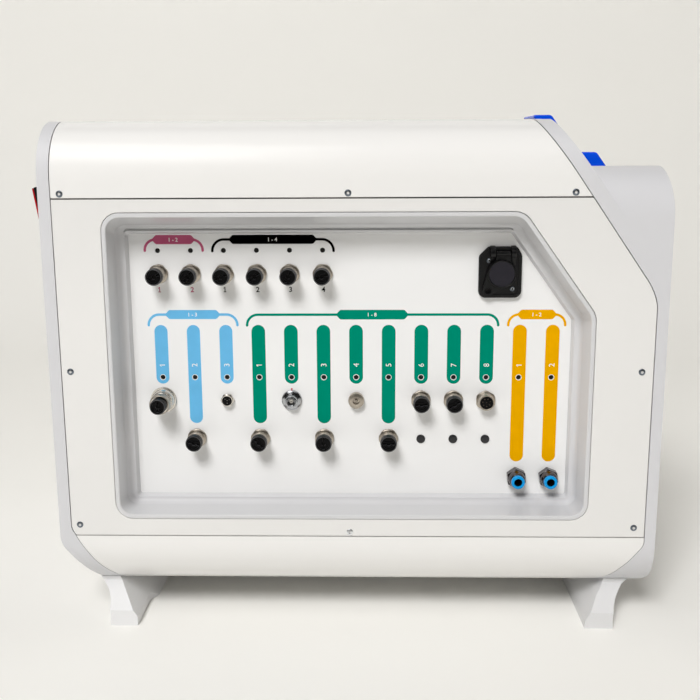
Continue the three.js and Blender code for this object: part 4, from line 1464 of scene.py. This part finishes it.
# ---------------------------------------------------------------- charging socket
HINGE_Z, HINGE_S = CZ + 14.6, 6.4
base_pts = [
    (CX - CW / 2, CZ - CH / 2),
    (CX + CW / 2, CZ - CH / 2),
    (CX + CW / 2, CZ + 13.2),
    (CX + 12.4, CZ + CH / 2 + 0.2),
    (CX - 9.0, CZ + CH / 2 + 0.2),
    (CX - CW / 2, CZ + 12.6),
]
base = raw("charge", prism_xz(rounded(base_pts, [5.4, 5.4, 5, 3, 3, 5], 8), PLATE_Y - 3.0, PLATE_Y - 0.12))
soften(base, 0.7, 3, 40)
rim_o = rounded(inset(base_pts, 0.5), [5.0, 5.0, 4.6, 2.6, 2.6, 4.6], 8)
rim_i = rounded(inset(base_pts, [2.6, 2.7, 2.2, 2.6, 2.2, 2.7]), [3.6, 3.6, 3.4, 1.8, 1.8, 3.4], 8)
rim = raw("rim", prism_xz(rim_o, PLATE_Y - 4.0, PLATE_Y - 2.0, [rim_i]))
soften(rim, 0.55, 3, 40)
well = raw("well", lathe([(0, -14), (11.1, -14), (11.1, -0.3), (0, -0.3)], 40))
well.data.transform(Matrix.Translation((CX * 0.001, PLATE_Y * 0.001, (CZ - 1) * 0.001)))
boole(base, well, "UNION")
boole(base, rim, "UNION")
bore = raw("bore", lathe([(0, -6), (7.6, -6), (7.6, 6), (0, 6)], 40))
bore.data.transform(Matrix.Translation((CX * 0.001, PLATE_Y * 0.001, (CZ - 1) * 0.001)))
boole(base, bore)
for x0, x1 in ((CX - 8.0, CX - 4.0), (CX + 7.6, CX + 11.4)):
    # hinge ears: rounded tops that slope into the base
    prof = [(PLATE_Y - 0.4, CZ + 20.0), (PLATE_Y - 0.4, HINGE_Z - 9), (PLATE_Y - 3.6, HINGE_Z - 9)]
    for t in np.linspace(-1.9, 1.35, 14):
        prof.append((PLATE_Y - HINGE_S - 2.0 * math.cos(t) + 0.0, HINGE_Z + 3.0 * math.sin(t)))
    prof.append((PLATE_Y - 3.2, CZ + 20.0))
    ear = raw("ear", prism_yz(prof if area(prof) > 0 else prof[::-1], x0, x1))
    soften(ear, 0.5, 2, 35)
    boole(base, ear, "UNION")
for px, pz in ((99.2, 262.2),):
    boole(base, prism_xz(disc(px, pz, 1.7, 20), PLATE_Y - 6, PLATE_Y - 1.2))
clean(base)
piece("charge_base", base, M_BLACK, stands="charge_socket", smooth=35)
add_screw("charge_screw_a", 100.4, PLATE_Y - 3.0, 284.3, 0.3, 1.9)
add_screw("charge_screw_b", 118.3, PLATE_Y - 3.0, 263.0, 1.1, 1.9)

# lid: flat disc with a raised rim on a leaf that runs to a finger eye at the lower left
lc = (CX + 0.6, CZ - 0.6)
lid_pts = []
ex, ez, er = 99.8, 261.9, 4.3
Rl = 10.8
for t in np.linspace(math.radians(-38), math.radians(46), 14):
    lid_pts.append((lc[0] + Rl * math.cos(t), lc[1] + Rl * math.sin(t)))
lid_pts += [(CX + 7.0, HINGE_Z - 4.6), (CX - 3.4, HINGE_Z - 4.6)]
for t in np.linspace(math.radians(116), math.radians(165), 8):
    lid_pts.append((lc[0] + Rl * math.cos(t), lc[1] + Rl * math.sin(t)))
for t in np.linspace(math.radians(170), math.radians(285), 12):
    lid_pts.append((ex + er * math.cos(t), ez + er * math.sin(t)))
for t in np.linspace(math.radians(-86), math.radians(-44), 6):
    lid_pts.append((lc[0] + Rl * math.cos(t), lc[1] + Rl * math.sin(t)))
eye = disc(ex - 0.2, ez + 0.2, 2.5, 24)
lid = raw("lid", prism_xz(lid_pts if area(lid_pts) > 0 else lid_pts[::-1], PLATE_Y - 6.6, PLATE_Y - 4.2))
boole(lid, prism_xz(eye, PLATE_Y - 9, PLATE_Y - 3))
soften(lid, 0.45, 2, 40)
boss = raw(
    "boss",
    lathe([(0, 6.2), (10.3, 6.2), (10.55, 6.5), (10.55, 8.3), (10.3, 8.72), (9.95, 8.85), (9.6, 8.74), (9.4, 8.4), (9.3, 8.2), (4.0, 8.3), (0, 8.32)], 64),
)
boss.data.transform(Matrix.Translation((lc[0] * 0.001, PLATE_Y * 0.001, lc[1] * 0.001)))
boole(lid, boss, "UNION")
tongue = raw("tongue", brick(CX - 3.6, CX + 7.2, PLATE_Y - 6.9, PLATE_Y - 4.9, HINGE_Z - 6, HINGE_Z))
soften(tongue, 0.35, 2, 40)
boole(lid, tongue, "UNION")
barrel = raw("barrel", lathe([(0, -5.5), (1.7, -5.5), (1.95, -5.25), (1.95, 5.25), (1.7, 5.5), (0, 5.5)], 24))
barrel.data.transform(
    Matrix.Translation(((CX + 1.8) * 0.001, (PLATE_Y - HINGE_S) * 0.001, HINGE_Z * 0.001)) @ Matrix.Rotation(math.pi / 2, 4, "Z")
)
boole(lid, barrel, "UNION")
clean(lid)
finish_mesh(lid, [M_BLACK, M_DISC])
for p in lid.data.polygons:
    c = p.center
    if math.hypot(c.x * 1000 - lc[0], c.z * 1000 - lc[1]) < 9.35 and c.y * 1000 < PLATE_Y - 8.15:
        p.material_index = 1
piece("charge_lid_leaf", lid, [M_BLACK, M_DISC], body="charge_lid", stands="charge_lid", smooth=35)

# ---------------------------------------------------------------- end of the body: switch and inlet
sx = X_LEFT
bez = raw("bez", prism_yz(rounded(rect(SW_Y - SW_W / 2, SW_Y + SW_W / 2, SW_Z - SW_H / 2, SW_Z + SW_H / 2), 1.6, 5), sx - 2.2, sx - 0.1))
soften(bez, 0.6, 3, 40)
boole(bez, brick(sx - 1, sx + 17, SW_Y - 6.7, SW_Y + 6.7, SW_Z - 15.6, SW_Z + 15.6), "UNION")
boole(bez, brick(sx - 6, sx + 11, SW_Y - 5.8, SW_Y + 5.8, SW_Z - 14.8, SW_Z + 14.8))
piece("switch_frame", bez, M_BLACK, stands="switch_housing")
tilt = math.radians(9)


def rocker_outline(half):
    pts = half + [(a, -b) for a, b in half[1:][::-1]]
    pts = [(sx + 1 + a * math.cos(tilt) - b * math.sin(tilt), SW_Z + a * math.sin(tilt) + b * math.cos(tilt)) for a, b in pts]
    return pts if area(pts) > 0 else pts[::-1]


key = raw(
    "key", prism_xz(rocker_outline([(-6.2, 0), (-6.2, 6), (-6.2, 13.05), (-5.75, 13.4), (-1, 13.8), (4, 7)]), SW_Y - 5.4, SW_Y + 5.4)
)
soften(key, 0.35, 2, 25)
finish_mesh(key, M_BLACK)
face = raw(
    "face",
    prism_xz(rocker_outline([(-7.42, 0), (-7.42, 3), (-7.42, 6), (-7.42, 9.5), (-7.4, 12.6), (-7.1, 13.0), (-6.25, 13.0), (-6.25, 6), (-6.25, 0.01)]), SW_Y - 5.25, SW_Y + 5.25),
)
soften(face, 0.45, 3, 25)
finish_mesh(face, M_RED)
piece("rocker_key", merge(key, face), None, body="power_rocker", stands="power_rocker")
inl = raw("inl", prism_yz(rounded(rect(IN_Y - IN_W / 2, IN_Y + IN_W / 2, IN_Z - IN_H / 2, IN_Z + IN_H / 2), 2.5, 5), sx - 1.6, sx - 0.1))
soften(inl, 0.5, 3, 40)
boole(inl, brick(sx - 1, sx + 24, IN_Y - 11.6, IN_Y + 11.6, IN_Z - 15.6, IN_Z + 15.6), "UNION")
well = rounded([(IN_Y - 8.2, IN_Z - 12), (IN_Y + 8.2, IN_Z - 12), (IN_Y + 8.2, IN_Z + 12), (IN_Y - 8.2, IN_Z + 12)], [4, 1.2, 1.2, 4], 4)
boole(inl, prism_yz(well, sx - 5, sx + 18))
piece("inlet_frame", inl, M_BLACK, stands="mains_inlet")
blades = []
for py, pz in ((IN_Y + 2.0, IN_Z), (IN_Y - 2.0, IN_Z + 7), (IN_Y - 2.0, IN_Z - 7)):
    b = raw("blade", prism_yz(rect(py - 2.0, py + 2.0, pz - 1.0, pz + 1.0), sx + 5, sx + 18.2))
    soften(b, 0.3, 2, 40)
    finish_mesh(b, M_PIN)
    blades.append(b)
piece("inlet_blades", merge(*blades), None)
add_screw("inlet_screw_a", sx - 1.6, IN_Y, IN_Z + 17.2, 0.2, 1.5, "x-")
add_screw("inlet_screw_b", sx - 1.6, IN_Y, IN_Z - 17.2, 0.8, 1.5, "x-")


# ---------------------------------------------------------------- sloped deck and drives
def deck_x(z):
    return bay_x(z) + 5.8


deck = raw(
    "deck",
    prism_xz(
        [(bay_x(268.6) + 0.4, 268.6), (bay_x(268.6) + 5.8, 268.6), (bay_x(Z_TOP - 0.6) + 5.8, Z_TOP - 0.6), (bay_x(Z_TOP - 0.6) + 0.4, Z_TOP - 0.6)],
        -BAY_Y + 0.3,
        BAY_Y - 0.3,
    ),
)
soften(deck, 0.8, 3)
piece("deck_plate", deck, M_GREY, stands="front_deck")


def drive(tag, y0, y1, z_top, out):
    foot = z_top - 52
    body = rounded(
        [
            (deck_x(foot) + 0.3, foot),
            (deck_x(foot) + 12, foot - 2),
            (deck_x(z_top - 5) + 12, z_top - 5),
            (deck_x(z_top - 12) + 0.3, min(z_top - 8, Z_TOP + 3.5)),
        ],
        [0, 3, 2, 2],
        5,
    )
    o = raw("drv", prism_xz(body, y0 + 2, y1 - 2))
    soften(o, 0.8, 3)
    piece(f"drive_case_{tag}", o, M_PALE, stands=f"drive_body_{tag}")
    hood = rounded(
        [(deck_x(foot + 1) + 12.4, foot + 1), (deck_x(foot - 3) + out + 1, foot - 3), (deck_x(z_top) + out, z_top), (deck_x(z_top) + 12.8, z_top)],
        [1.5, 5, 4, 1.5],
        8,
    )
    h = raw("hood", prism_xz(hood, y0, y1))
    soften(h, 1.6, 4)
    piece(f"drive_hood_{tag}", h, M_BLUE, stands=f"drive_cover_{tag}")


drive("lower", -80, -20, 363.6, 25.6)
drive("upper", 20, 80, 395, 29.5)


# ---------------------------------------------------------------- feet
def foot(name, outline, plan_xy, stands):
    f = raw(name, prism_xz(outline, YN, -YN))
    side = [
        (YN, 0),
        (-YN, 0),
        (-YN, 12.8),
        (-YN - 19.5, 29.5),
        (-YN - 23, 44),
        (YN + 23, 44),
        (YN + 19.5, 29.5),
        (YN, 12.8),
    ]
    boole(f, prism_yz(side, -260, 260), "INTERSECT")
    if plan_xy:
        boole(f, prism_xy(plan_xy, -1, 60), "INTERSECT")
    clearance = raw("clr", prism_yz(end_profile(-0.15, Z_TOP, R_EDGE), X_LEFT - 5, X_RIGHT + 5))
    boole(clearance, prism_xz([(x - (0.15 if x < -190 else 0), z - (0.15 if z < 80 else 0)) for x, z in side_main], YN - 1, -YN + 1), "INTERSECT")
    boole(f, clearance)
    clearance = raw("clr", prism_yz(end_profile(-0.15, Z_FRONT_TOP, R_FRONT), X_LEFT - 5, X_RIGHT + 5))
    boole(clearance, prism_xz([(x, z - (0.15 if z < 80 else 0)) for x, z in side_front], YN - 1, -YN + 1), "INTERSECT")
    boole(f, clearance)
    clean(f)
    soften(f, 0.8, 3, 28)
    # the left foot takes the lighter copy of the foot grey, painted light
    piece(name, f, M_FOOT_LEFT_LIT if "left" in stands else M_FOOT, stands=stands, smooth=34)


foot(
    "foot_shell_left",
    spline(
        [
            (-193, 0),
            (-166.3, 0),
            (-171.4, 7.5),
            (-175.2, 13.2),
            (-187.8, 30),
            (-188.6, 36),
            (-205, 36.4),
            (-204.6, 33),
            (-201.6, 29),
            (-198.2, 25.6),
            (-194.6, 20),
            (-193.3, 12.8),
        ],
        step=1.2,
    ),
    [
        (-230, YN - 1),
        (-171.6, YN - 1),
        (-171.6, YN + 43),
        (-166, YN + 56),
        (-166, -YN - 56),
        (-171.6, -YN - 43),
        (-171.6, -YN + 1),
        (-230, -YN + 1),
    ],
    "foot_left",
)
foot(
    "foot_shell_right",
    spline(
        [
            (177.8, 0),
            (199.8, 0),
            (200.2, 14),
            (202.6, 20),
            (208.0, 27),
            (215.6, 33.6),
            (216.2, 36),
            (196, 36),
            (195, 30.6),
            (188.4, 22),
            (183.4, 14.5),
            (179.2, 7.5),
        ],
        step=1.2,
    ),
    None,
    "foot_right",
)

# nodes that stay as they are
for name, mat in (("power_supply", M_SUPPLY),):
    o = CAD[name]
    o.data.materials.clear()
    o.data.materials.append(mat.m)

# ---------------------------------------------------------------- stage and light
floor_mat = Mat("stage_pale", srgb(251, 250, 246), 0.8)
floor_mat.tint(1.2, 0.01).grain(60, 0.0002, 2, 0.2)
loop = []
depth, rise, rad = 1.35, 2.6, 0.5
prof = [(-2.6, 0.0), (depth - rad, 0.0)]
for k in range(1, 13):
    t = math.pi / 2 * k / 12
    prof.append((depth - rad + rad * math.sin(t), rad * (1 - math.cos(t))))
prof.append((depth, rise))
verts, faces = [], []
for y, z in prof:
    verts += [(-4.0, y, z), (4.0, y, z)]
for k in range(len(prof) - 1):
    faces.append((2 * k, 2 * k + 1, 2 * k + 3, 2 * k + 2))
me = bpy.data.meshes.new("stage")
me.from_pydata(verts, [], faces)
me.materials.append(floor_mat.m)
me.polygons.foreach_set("use_smooth", [True] * len(me.polygons))
stage = bpy.data.objects.new("stage", me)
bpy.context.scene.collection.objects.link(stage)


def area_light(name, at, target, size, power, color=(1, 1, 1), size_y=None):
    d = bpy.data.lights.new(name, "AREA")
    d.shape = "RECTANGLE"
    d.size = size
    d.size_y = size_y or size
    d.energy = power
    d.color = color
    o = bpy.data.objects.new(name, d)
    bpy.context.scene.collection.objects.link(o)
    o.location = at
    o.rotation_euler = (Vector(target) - Vector(at)).to_track_quat("-Z", "Y").to_euler()
    return o


WARM = (1.0, 0.955, 0.87)
# name, place, aimed at, width, height, watts, colour, lights matt surfaces, shows in glossy surfaces
LIGHTS = [
    ("key", (-0.88, -3.35, 3.3), (0, -0.1, 0.2), 1.35, 1.35, 149, (1.0, 0.992, 0.985), True, False),
    ("key_glow", (-0.72, -2.05, 2.0), (0, -0.1, 0.2), 1.1, 1.0, 4, (1.0, 0.99, 0.975), False, True),
    ("band", (-0.75, -1.2, 2.1), (0, -0.1, 0.25), 1.2, 1.1, 9, (1.0, 0.99, 0.975), True, True),
    ("ceiling", (0.0, 0.1, 2.4), (0, 0.1, 0.2), 2.6, 2.2, 2, WARM, True, True),
    ("left", (-2.3, -0.4, 0.9), (0, -0.1, 0.2), 1.2, 1.2, 1.8, WARM, True, True),
    ("right", (2.3, -0.4, 0.9), (0, -0.1, 0.2), 1.2, 1.2, 4.5, WARM, True, True),
    ("backdrop", (0.0, 0.5, 1.9), (0, 1.35, 0.6), 2.4, 0.5, 1, WARM, True, False),
    ("low", (0.2, -1.5, 0.12), (0, -0.1, 0.06), 1.6, 0.12, 1.4, (1.0, 0.96, 0.88), True, False),
    ("sheen", (0.0, -0.6, 2.4), (0, -0.1, 0.2), 3.0, 2.4, 14, (1.0, 0.99, 0.975), False, True),
]
for name, at, target, w, h, power, color, matt, glossy in LIGHTS:
    if power:
        lamp = area_light(name, at, target, w, power, color, h)
        lamp.visible_diffuse = matt
        lamp.visible_glossy = glossy
world = bpy.data.worlds.new("world")
bpy.context.scene.world = world
world.use_nodes = True
wt = world.node_tree
bg = wt.nodes["Background"]
WORLD = 0.02
# the room gets lighter from the floor line up to the ceiling
wc = wt.nodes.new("ShaderNodeTexCoord")
wz = wt.nodes.new("ShaderNodeSeparateXYZ")
wt.links.new(wc.outputs["Generated"], wz.inputs["Vector"])
wr = wt.nodes.new("ShaderNodeMapRange")
wr.interpolation_type = "SMOOTHSTEP"
wr.inputs["From Min"].default_value = 0.15
wr.inputs["From Max"].default_value = 0.75
wr.inputs["To Min"].default_value = 0.25
wr.inputs["To Max"].default_value = 1.3
wt.links.new(wz.outputs["Z"], wr.inputs["Value"])
wm = wt.nodes.new("ShaderNodeMath")
wm.operation = "MULTIPLY"
wm.inputs[1].default_value = WORLD
wt.links.new(wr.outputs["Result"], wm.inputs[0])
wt.links.new(wm.outputs["Value"], bg.inputs["Strength"])
bg.inputs["Color"].default_value = (1.0, 0.955, 0.87, 1)
